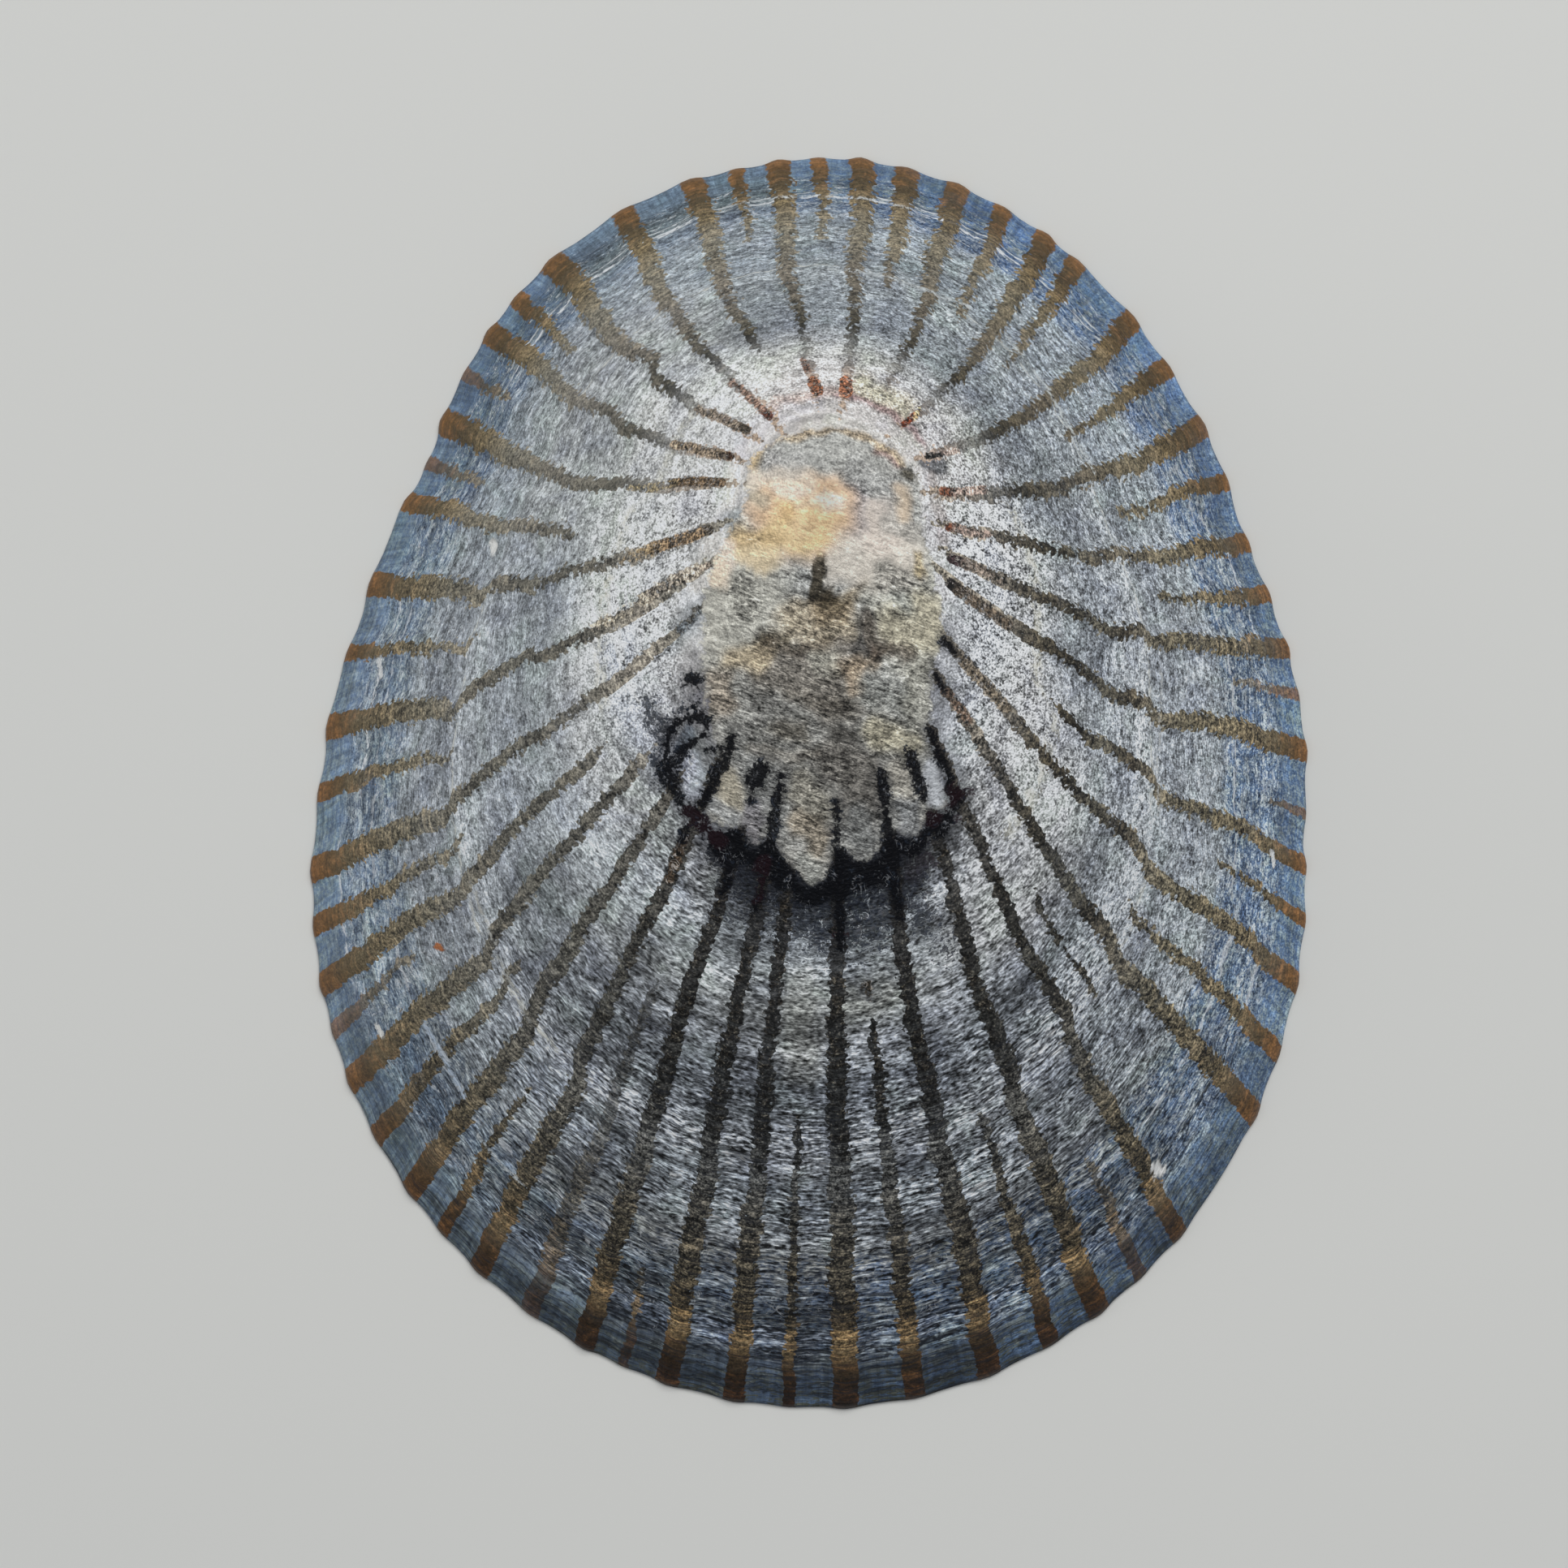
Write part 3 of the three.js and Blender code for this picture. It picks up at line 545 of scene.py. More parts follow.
# Stained and blackened inner ends of the rays: colour, strength, half-width, softness, points
endMarks = [
    ((128, 84, 60), 1.0, 0.24, 0.14, [(0.3, 18.0), (0.1, 18.45)]),
    ((110, 86, 74), 0.8, 0.10, 0.14, [(-0.15, 19.0), (-0.35, 19.6)]),
    ((132, 86, 62), 1.0, 0.26, 0.14, [(1.6, 17.95), (1.6, 18.45)]),
    ((99, 47, 27), 1.0, 0.11, 0.12, [(4.25, 16.45), (4.8, 16.95)]),
    ((229, 202, 153), 0.8, 0.08, 0.10, [(4.85, 16.8), (5.0, 17.3)]),
    ((73, 44, 35), 1.0, 0.17, 0.12, [(-1.95, 16.75), (-2.3, 17.2)]),
    ((117, 96, 84), 0.9, 0.13, 0.16, [(-2.3, 17.2), (-3.0, 18.0), (-3.7, 18.6)]),
    ((65, 58, 48), 1.0, 0.15, 0.12, [(-2.95, 16.15), (-3.4, 16.4)]),
    ((112, 102, 90), 0.9, 0.15, 0.16, [(-3.4, 16.4), (-4.3, 16.9), (-5.2, 17.3)]),
    ((52, 32, 16), 1.0, 0.16, 0.12, [(-3.7, 14.95), (-4.1, 15.05)]),
    ((119, 106, 90), 0.9, 0.17, 0.16, [(-4.1, 15.05), (-5.4, 15.45), (-6.3, 15.7)]),
    ((93, 77, 58), 1.0, 0.19, 0.14, [(-4.15, 13.75), (-5.6, 13.9), (-6.4, 13.85)]),
    ((118, 108, 85), 0.62, 0.18, 0.18, [(-6.4, 13.85), (-7.6, 13.7), (-8.3, 13.7)]),
    ((71, 64, 53), 1.0, 0.18, 0.14, [(-4.65, 11.55), (-5.2, 11.4)]),
    ((133, 112, 87), 0.95, 0.25, 0.16, [(-5.2, 11.4), (-6.2, 11.1), (-7.2, 10.8)]),
    ((119, 104, 80), 0.60, 0.22, 0.20, [(-7.2, 10.8), (-8.6, 10.3)]),
    ((142, 129, 115), 0.9, 0.10, 0.12, [(-4.6, 9.95), (-5.2, 9.65)]),
    ((141, 132, 119), 0.95, 0.25, 0.16, [(-5.3, 9.6), (-6.2, 9.3), (-7.6, 8.5)]),
    ((146, 137, 121), 0.62, 0.24, 0.20, [(-7.6, 8.5), (-9.0, 7.7), (-10.0, 7.2)]),
    ((91, 96, 99), 0.8, 0.18, 0.20, [(-5.1, 7.9), (-5.6, 7.3), (-6.0, 7.0)]),
    ((14, 14, 14), 1.0, 0.11, 0.12, [(5.4, 15.0), (6.0, 15.15)]),
    ((167, 149, 139), 0.7, 0.10, 0.12, [(6.2, 15.2), (6.8, 15.35)]),
    ((121, 76, 56), 0.95, 0.16, 0.14, [(6.05, 13.35), (6.6, 13.4)]),
    ((162, 141, 130), 0.85, 0.15, 0.16, [(6.6, 13.4), (7.3, 13.5), (8.0, 13.6)]),
    ((84, 49, 34), 0.95, 0.14, 0.14, [(6.3, 11.7), (6.7, 11.65)]),
    ((131, 115, 106), 0.85, 0.15, 0.16, [(6.7, 11.65), (7.4, 11.5), (8.2, 11.4)]),
    ((42, 32, 33), 1.0, 0.17, 0.14, [(6.4, 10.25), (7.1, 10.0)]),
    ((107, 97, 88), 0.85, 0.17, 0.18, [(7.1, 10.0), (8.0, 9.7), (8.8, 9.3)]),
    ((17, 14, 15), 1.0, 0.20, 0.14, [(6.35, 9.1), (6.8, 8.75)]),
    ((83, 73, 62), 0.85, 0.22, 0.18, [(6.8, 8.75), (7.9, 8.0), (9.0, 7.3)]),
    ((101, 92, 79), 0.85, 0.17, 0.18, [(6.6, 5.9), (7.4, 5.1), (8.1, 4.4), (9.0, 3.4)]),
    ((97, 81, 69), 0.85, 0.16, 0.18, [(6.05, 4.3), (6.6, 3.7), (7.2, 2.8)]),
    ((61, 51, 41), 0.85, 0.18, 0.16, [(-5.8, -2.5), (-6.2, -3.5), (-6.6, -4.5)]),
    ((52, 47, 40), 0.8, 0.20, 0.16, [(2.65, -9.3), (2.7, -9.9)]),
    ((50, 24, 24), 0.8, 0.22, 0.16, [(1.2, -6.9), (1.5, -6.9)]),
]

# Growth lines that run only part of the way round. Each has stretches: from angle, to angle,
# share of the way out (measured from the older check where that is near 0) and strength
growthRuns = {
    "paleFirst": [(320, 396, 0.868, 0.9), (398, 425, 0.876, 0.5), (426, 470, 0.836, 0.65),
                  (471, 515, 0.850, 0.6), (560, 605, 0.849, 0.5), (610, 650, 0.870, 0.45)],
    "paleSecond": [(320, 395, 0.885, 0.8), (398, 421, 0.900, 0.35), (421, 436, 0.930, 0.7),
                   (470, 490, 0.920, 0.5), (605, 622, 0.945, 0.75), (625, 655, 0.905, 0.9)],
    "paleCheck": [(318, 470, -0.002, 0.75), (478, 492, 0.012, 0.6), (575, 600, 0.0, 0.9),
                  (600, 650, 0.0, 0.7)],
    "paleWide": [(420, 470, 0.41, 0.6), (470, 500, 0.455, 0.55), (605, 660, 0.41, 0.6),
                 (661, 690, 0.38, 0.45)],
    "darkFirst": [(482, 566, 0.908, 0.9), (650, 665, 0.80, 0.5), (440, 455, 0.54, 0.45)],
    "darkSecond": [(508, 566, 0.934, 0.85), (566, 590, 0.93, 0.4)],
    "darkThird": [(505, 568, 0.945, 0.75)],
    "darkFourth": [(513, 562, 0.836, 0.6)],
}


# For one growth line: how far outside it each point lies, and its strength there. The
# stretches fade over a few degrees at their ends
def growthLine(angle, out, stretches):
    total = np.full(angle.shape, 1e-6)
    place = np.zeros(angle.shape)
    strength = np.zeros(angle.shape)
    for start, end, at, amount in stretches:
        middle, half = (start + end) / 2, (end - start) / 2
        window = 1 - ease(np.abs(angleGap(angle, middle)), half - 3, half + 2)
        place = place + window * (checkAt(angle) + at if at < 0.1 else at)
        total = total + window
        strength = np.maximum(strength, window * amount)
    return np.stack([out - place / total, strength, np.zeros(angle.shape)], -1)


# Points moved a little by crossed waves, so that soft strokes get uneven outlines
def stray(xy, reach):
    x, y = xy[:, 0], xy[:, 1]
    along = np.sin(2.3 * x + 1.1 * np.sin(3.1 * y + 0.4) + 0.7)
    along = along + 0.6 * np.sin(5.2 * y + 1.7 * np.sin(2.7 * x + 1.9))
    across = np.sin(2.7 * y + 1.3 * np.sin(2.1 * x + 2.2) + 1.9)
    across = across + 0.6 * np.sin(4.7 * x + 1.5 * np.sin(3.9 * y + 0.3))
    return xy + reach * np.stack([along, across], 1)


# Lay soft strokes over one another: each mixes its colour in by an eased share of its
# half-width and softness, and the cover adds up to at most one
def layTints(xy, strokes):
    colour = np.zeros((len(xy), 3))
    cover = np.zeros(len(xy))
    for shade, strength, halfWidth, softness, chain in strokes:
        near = chainDistance(xy, chain)
        share = strength * (1 - ease(near, halfWidth, halfWidth + softness))
        total = share + cover * (1 - share)
        mixed = colour * (cover * (1 - share))[:, None] + np.array(tone(*shade)[:3]) * share[:, None]
        colour = np.where(total[:, None] > 1e-6, mixed / np.maximum(total, 1e-6)[:, None], colour)
        cover = total
    return np.concatenate([colour, cover[:, None]], 1)


# Points of the outside, ribs and checks included; the rim's last row is rounded by the lip
def buildOutside():
    point = smoothPoint(angle, out)
    normal = smoothNormal(angle, np.minimum(out, 0.99))
    strength = np.array([ray[2] for ray in rays])[nearRay]
    wave = np.where(part <= 0.5, part, 1 - part)
    flat = (point[..., :2] - np.array(form["middle"])).reshape(-1, 2)
    patch = outlineLevel(flat, wornOutline).reshape(out.shape)
    lift = relief(angle, out, wave, strength, patch)
    point = point + normal * lift[..., None]
    point[..., 2] += form["lip"] * ease(out, 0.93, 1.0)
    point[-1, :, 2] = form["lip"]
    return point


# Points of the rounded edge, the land and the inside: the smooth slope lowered by the wall,
# with faint flutes under the ribs and the low ridge of the muscle scar
def buildInside(rim):
    rimAngle = angle[-1]
    apex = np.array(form["apex"])
    reach = np.linalg.norm(rimPoint(rimAngle) - apex, axis=-1)
    inward = (apex - rim[:, :2]) / np.linalg.norm(apex - rim[:, :2], axis=-1, keepdims=True)
    rings = []
    for inset, height in form["edge"]:
        ring = rim.copy()
        ring[:, :2] += inward * inset
        ring[:, 2] = height
        rings.append((np.ones(len(rim)), ring))
    edge = 1 - form["land"] / reach
    edgeHeight = form["height"] * slope(rimAngle, edge)
    wave = np.where(part <= 0.5, part, 1 - part)
    strength = np.array([ray[2] for ray in rays])[nearRay]
    for share in insideRows:
        here = np.array([np.interp(share, outRows, line) for line in angle.T])
        ring = smoothPoint(here, share * edge)
        rise = ease(1 - share, 0, 0.45)
        top = ease(1 - share, 0.3, 1)
        wall = edgeHeight + (form["wallMid"] - edgeHeight) * rise
        wall = wall + (form["wallTop"] - form["wallMid"]) * top
        crest = 0.5 + 0.5 * np.cos(2 * math.pi * wave)
        flute = form["flute"] * strength * crest * ease(share, 0.72, 0.97)
        scar = form["scar"] * bell(share, scarAt(here), 0.03) * scarStrength(here)
        ring[:, 2] = np.maximum(0.0, ring[:, 2] - wall + flute - scar)
        if share == 1:
            ring[:, 2] = 0.02
        rings.append((np.full(len(rim), share), ring))
    return rings


# Share of the way out of the muscle scar's edge, and how plain it is: it opens to the front
def scarAt(angle):
    return 0.50 + 0.07 * np.cos(angle * degree)


def scarStrength(angle):
    return ease(np.abs(angleGap(angle, 0)), 28, 60)


insideRows = np.concatenate([
    np.linspace(1.0, 0.94, 7),
    np.linspace(0.94, 0.62, 13)[1:],
    np.linspace(0.62, 0.10, 17)[1:],
    [0.06, 0.03],
])

# The middle of the outline's own box, so that the shell centres where the CAD's does
turn = np.arange(0, 360, 0.25)
rimRound = rimPoint(turn)
form["middle"] = tuple((rimRound.max(0) + rimRound.min(0)) / 2)

outside = buildOutside()
inside = buildInside(outside[-1])

# Slide the whole form sideways so that its box and the CAD node's box share their middle
low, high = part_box("shell")
cadMiddle = np.array([(low.x + high.x) / 2, (low.y + high.y) / 2]) / mm
ownMiddle = (outside[-1, :, :2].max(0) + outside[-1, :, :2].min(0)) / 2
shift = np.array([*(cadMiddle - ownMiddle), 0.0])
outside = outside + shift
inside = [(share, ring + shift) for share, ring in inside]

ringCount = len(column)
tipOut = smoothPoint(np.zeros(1), np.zeros(1))[0] + shift - np.array([0, 0, form["patchDepth"]])
tipIn = tipOut - np.array([0, 0, form["wallTop"]])
points = np.concatenate([
    tipOut[None], outside.reshape(-1, 3), *[ring for share, ring in inside], tipIn[None],
])
outsideCount = 1 + outside.shape[0] * ringCount
print("points", len(points), "outside", outsideCount, "shift", shift)


# Quads between all neighbouring rings, and a fan of triangles at either tip
def ringFaces(ringTotal):
    rows = np.arange(ringTotal - 1)[:, None] * ringCount + 1
    here = np.arange(ringCount)[None, :]
    nextOne = (here + 1) % ringCount
    quads = np.stack([rows + here, rows + ringCount + here, rows + ringCount + nextOne,
                      rows + nextOne], -1).reshape(-1, 4)
    lastRing = (ringTotal - 1) * ringCount + 1
    fanOut = np.stack([np.zeros(ringCount, int), 1 + here[0], 1 + nextOne[0]], -1)
    fanIn = np.stack([np.full(ringCount, lastRing + ringCount), lastRing + nextOne[0],
                      lastRing + here[0]], -1)
    return quads, fanOut, fanIn


# Mesh from whole arrays: all quads first, then the two fans
def makeMesh(name, points, quads, fans):
    mesh = bpy.data.meshes.new(name)
    corners = np.concatenate([quads.reshape(-1), *[fan.reshape(-1) for fan in fans]])
    sizes = np.concatenate([np.full(len(quads), 4), *[np.full(len(fan), 3) for fan in fans]])
    starts = np.concatenate([[0], np.cumsum(sizes)[:-1]])
    mesh.vertices.add(len(points))
    mesh.vertices.foreach_set("co", (points * mm).astype(np.float32).ravel())
    mesh.loops.add(len(corners))
    mesh.loops.foreach_set("vertex_index", corners.astype(np.int32))
    mesh.polygons.add(len(sizes))
    mesh.polygons.foreach_set("loop_start", starts.astype(np.int32))
    mesh.polygons.foreach_set("loop_total", sizes.astype(np.int32))
    mesh.polygons.foreach_set("use_smooth", np.ones(len(sizes), bool))
    mesh.update(calc_edges=True)
    mesh.validate()
    return mesh, corners, sizes


ringTotal = outside.shape[0] + len(inside)
quads, fanOut, fanIn = ringFaces(ringTotal)
shellMesh, corners, sizes = makeMesh("limpetShell", points, quads, [fanOut, fanIn])

# Faces past the land belong to the inside's material
quadRing = np.repeat(np.arange(ringTotal - 1), ringCount)
landRing = outside.shape[0] + len(form["edge"])
slotOfFace = np.concatenate([(quadRing >= landRing).astype(int), np.zeros(ringCount, int),
                             np.ones(ringCount, int)])
shellMesh.polygons.foreach_set("material_index", slotOfFace.astype(np.int32))

# UV map for baking: the outside lies flat as seen from above, and the inside is a strip
# beside it whose long side runs round the turn
def makeUv(mesh, corners, sizes, slotOfFace):
    uvMap = mesh.uv_layers.new(name="OFBake")
    flat = points[corners][:, :2]
    low, high = points[:, :2].min(0), points[:, :2].max(0)
    uv = (flat - low) / (high - low) * np.array([0.78, 0.98]) + np.array([0.005, 0.01])
    faceOfCorner = np.repeat(np.arange(len(sizes)), sizes)
    ringOf = np.concatenate([[0], np.repeat(np.arange(ringTotal), ringCount), [ringTotal]])[corners]
    columnOf = np.concatenate([[0], np.tile(np.arange(ringCount), ringTotal), [0]])[corners]
    firstColumn = np.concatenate([np.tile(np.arange(ringCount), ringTotal - 1), np.arange(ringCount),
                                  np.arange(ringCount)])[faceOfCorner]
    turned = np.where((firstColumn == ringCount - 1) & (columnOf == 0), ringCount, columnOf)
    tips = (corners == 0) | (corners == len(points) - 1)
    turned = np.where(tips, firstColumn + 0.5, turned)
    strip = np.stack([0.805 + 0.185 * (ringOf - landRing) / (ringTotal - landRing),
                      0.01 + 0.98 * turned / ringCount], -1)
    uv = np.where((slotOfFace[faceOfCorner] == 1)[:, None], strip, uv)
    uvMap.data.foreach_set("uv", uv.astype(np.float32).ravel())


makeUv(shellMesh, corners, sizes, slotOfFace)


# What the materials read at each point: how far inside a ray's edge it lies in millimetres,
# and how strongly the ray shows
def shellFields():
    reach = np.linalg.norm(rimPoint(angle) - np.array(form["apex"]), axis=-1)
    halfWidth = np.array([ray[0] for ray in rays])[nearRay]
    ends = np.array([ray[1] for ray in rays])[nearRay]
    short = ease(ends, 0.5, 0.6)
    side = np.abs(np.sin(angle * degree))
    behind = ease(-np.cos(angle * degree), 0.3, 0.95)
    taper = 1 - short * 0.45 * ease(1 - out, 0, 1 - np.minimum(ends, 0.99))
    medium = 1 + 0.25 * bell(halfWidth, 0.82, 0.12)
    inner = 1 + (0.15 + 0.95 * side ** 3) * (1 - ease(out, 0.29, 0.50)) * (1 - short)
    narrow = 1 - 0.12 * behind * ease(out, 0.84, 0.97)
    ahead = ease(np.cos(angle * degree), 0.62, 0.92)
    narrow = narrow * (1 - 0.36 * ahead * (1 - ease(out, 0.46, 0.74)))
    endCut = 55 * np.maximum(0, ends - out)
    narrow = narrow * (1 + 0.14 * ease(-np.sin(angle * degree), 0.3, 0.8) * ease(out, 0.66, 0.80))
    level = halfWidth * taper * medium * inner * narrow - offRay - endCut
    broken = np.where(nearRay == endingRay, 0.9 * ease(out, 0.67, 0.70), 0)
    for row, at, amount, width in brokenRays:
        broken = broken + np.where(nearRay == row, amount * bell(out, at, width), 0)
    level = (level - broken * 1.2) * degree * reach * np.maximum(out, 0.05)
    front = ease(np.cos(angle * degree), 0.3, 0.85)
    faint = 1 - 0.35 * front * bell(out, 0.375, 0.04)
    faint = faint * np.where(ends > 0.8, 0.8, 1) * np.where(nearRay == weakRay, 0.75, 1)
    return level, faint


rayLevel, rayFaint = shellFields()


# Values for the whole mesh from values on the outside grid: the tip takes the first row's
# mean, and each inside ring repeats the outside at its own share of the way out
def spread(grid):
    values = [np.array([grid[0].mean()]), grid.reshape(-1)]
    for share, ring in inside:
        at = np.searchsorted(outRows, share[0] - 1e-9)
        values.append(grid[min(at, len(outRows) - 1)])
    values.append(np.array([grid[0].mean()]))
    return np.concatenate(values)


allOut = np.concatenate([[0], out.reshape(-1), *[share for share, ring in inside], [0]])
allAngle = spread(angle % 360)
flatXY = points[:, :2]
# Vector that the streaky noises run on: the angle's cosine and sine, and the way out, drawn
# back in front of the apex and pushed out behind it where the rows crowd
cosTurn = spread(np.cos(angle * degree))
sinTurn = spread(np.sin(angle * degree))
early = 1 - ease(allOut, 0.3, 0.95)
grain = np.stack([cosTurn, sinTurn, allOut - 0.07 * early * np.minimum(1, allOut * 4) * cosTurn], 1)

ink = inkLevel(flatXY)
allPatch = outlineLevel(flatXY, wornOutline)
patchTint = layTints(stray(flatXY, 0.12), softTints)
roundTint = layTints(stray(flatXY, 0.12), roundTints)
chipTint = layTints(flatXY, chips)

# Where the black lines turn maroon, and how blue the coat under the flecks is round the turn
maroonChains = [(0.9, [(-5.6, -1.4), (-4.2, -2.6)]), (0.8, [(-2.2, -3.6), (-2.6, -5.2)]),
                (0.9, [(5.4, -1.6), (6.9, -0.2)])]
maroonShare = np.zeros(len(points))
for halfWidth, chain in maroonChains:
    maroonShare = np.maximum(maroonShare, 1 - ease(chainDistance(flatXY, chain), 0.2, halfWidth))
blueCoat = 0.55 + 0.45 * ease(sinTurn, -0.4, 0.7) - 0.35 * ease(-cosTurn, 0.3, 0.9)
blueCoat = blueCoat + 0.35 * bell(angleGap(allAngle, 20), 0, 10)
blueCoat = blueCoat * (1 - 0.85 * (1 - ease(np.abs(angleGap(allAngle, 345)), 9, 16)))


# Put one value, vector or colour per point on the mesh under a name
def putField(name, values, kind="FLOAT"):
    field = shellMesh.attributes.new(name, kind, "POINT")
    key = {"FLOAT": "value", "FLOAT_VECTOR": "vector", "FLOAT_COLOR": "color"}[kind]
    field.data.foreach_set(key, np.ascontiguousarray(values, np.float32).ravel())


putField("grain", grain, "FLOAT_VECTOR")
putField("wayOut", allOut)
putField("rayLevel", spread(rayLevel))
putField("rayFaint", spread(rayFaint))
putField("wornLevel", allPatch)
putField("inkLevel", ink)
putField("patchTint", patchTint, "FLOAT_COLOR")
putField("roundTint", roundTint, "FLOAT_COLOR")
putField("chipTint", chipTint, "FLOAT_COLOR")
putField("shadeTint", layTints(stray(flatXY, 0.14), shadeTints), "FLOAT_COLOR")
putField("checkAt", checkAt(allAngle))
putField("markTint", layTints(flatXY, endMarks), "FLOAT_COLOR")
putField("maroonShare", maroonShare)
putField("blueCoat", blueCoat)
for name, stretches in growthRuns.items():
    putField(name, growthLine(allAngle, allOut, stretches), "FLOAT_VECTOR")
print("fields ready")


# Lays nodes in one material; a value that is a socket is linked, any other is set
class NodeDesk:
    def __init__(self, name):
        self.material = bpy.data.materials.new(name)
        self.material.use_nodes = True
        self.tree = self.material.node_tree
        self.tree.nodes.clear()

    def feed(self, socket, value):
        if isinstance(value, bpy.types.NodeSocket):
            self.tree.links.new(value, socket)
        elif value is not None:
            socket.default_value = value

    def put(self, kind, values=(), **settings):
        node = self.tree.nodes.new(kind)
        for key, value in settings.items():
            setattr(node, key, value)
        for socket, value in zip(node.inputs, values):
            self.feed(socket, value)
        return node

    # outputs of a field on the mesh, and the field as one number
    def field(self, name):
        return self.put("ShaderNodeAttribute", attribute_name=name).outputs

    def number(self, name):
        return self.field(name)["Fac"]

    def split(self, vector):
        return self.put("ShaderNodeSeparateXYZ", (vector,)).outputs

    def vectors(self, operation, *values):
        return self.put("ShaderNodeVectorMath", values, operation=operation).outputs[0]

    def calc(self, operation, *values, clamp=False):
        return self.put("ShaderNodeMath", values, operation=operation, use_clamp=clamp).outputs[0]

    def plus(self, a, b):
        return self.calc("ADD", a, b)

    def less(self, a, b):
        return self.calc("SUBTRACT", a, b)

    def times(self, a, b, clamp=False):
        return self.calc("MULTIPLY", a, b, clamp=clamp)

    # product of all values
    def product(self, first, *others):
        for other in others:
            first = self.times(first, other)
        return first

    # straight line: a value times a slope, plus a start
    def line(self, value, slope, start):
        return self.calc("MULTIPLY_ADD", value, slope, start)

    # distance of a value from a middle
    def apart(self, value, middle):
        return self.calc("ABSOLUTE", self.less(value, middle))

    def step(self, value, low, high, bottom=0.0, top=1.0):
        return self.put("ShaderNodeMapRange", (value, low, high, bottom, top),
                        interpolation_type="SMOOTHSTEP").outputs[0]

    def mix(self, share, a, b, kind="MIX"):
        node = self.put("ShaderNodeMix", data_type="RGBA", blend_type=kind)
        self.feed(node.inputs[0], share)
        self.feed(node.inputs[6], a)
        self.feed(node.inputs[7], b)
        return node.outputs[2]

    # sum of noises, each less its middle and times its own weight
    def blend(self, *pairs):
        total = None
        for value, weight in pairs:
            centred = self.less(value, 0.5)
            if total is None:
                total = self.times(centred, weight)
            else:
                total = self.line(centred, weight, total)
        return total

    # from one value to another by a share
    def slide(self, share, a, b):
        return self.line(self.less(b, a), share, a)

    # colour made lighter or darker by a signed share of its value on the screen
    def vary(self, colour, amount):
        factor = self.calc("POWER", self.calc("MAXIMUM", self.plus(amount, 1.0), 0.2), 2.2)
        scaled = self.vectors("SCALE", colour, None, None, factor)
        return self.vectors("MINIMUM", scaled, (0.88, 0.89, 0.90))

    # noise on a vector stretched along each axis
    def noise(self, vector, scale, detail, rough, warp=0.0):
        node = self.put("ShaderNodeTexNoise")
        values = {"Vector": self.vectors("MULTIPLY", vector, scale), "Scale": 1.0,
                  "Detail": detail, "Roughness": rough, "Distortion": warp}
        for key, value in values.items():
            self.feed(node.inputs[key], value)
        return node.outputs[0]

    def ramp(self, value, stops, kind="LINEAR"):
        node = self.put("ShaderNodeValToRGB", (value,))
        node.color_ramp.interpolation = kind
        while len(node.color_ramp.elements) < len(stops):
            node.color_ramp.elements.new(0.5)
        for element, (place, colour) in zip(node.color_ramp.elements, stops):
            element.position = place
            element.color = tone(*colour)
        return node.outputs[0]

    # principled surface, with a bump where a height is given
    def surface(self, colour, rough, ior=None, specular=None, height=None, strength=0.0, depth=0.0):
        shader = self.put("ShaderNodeBsdfPrincipled")
        values = {"Base Color": colour, "Roughness": rough, "IOR": ior, "Specular IOR Level": specular}
        if height is not None:
            bump = self.put("ShaderNodeBump")
            for key, value in (("Strength", strength), ("Distance", depth), ("Height", height)):
                self.feed(bump.inputs[key], value)
            values["Normal"] = bump.outputs[0]
        for key, value in values.items():
            self.feed(shader.inputs[key], value)
        self.put("ShaderNodeOutputMaterial", (shader.outputs[0],))
        return self.material


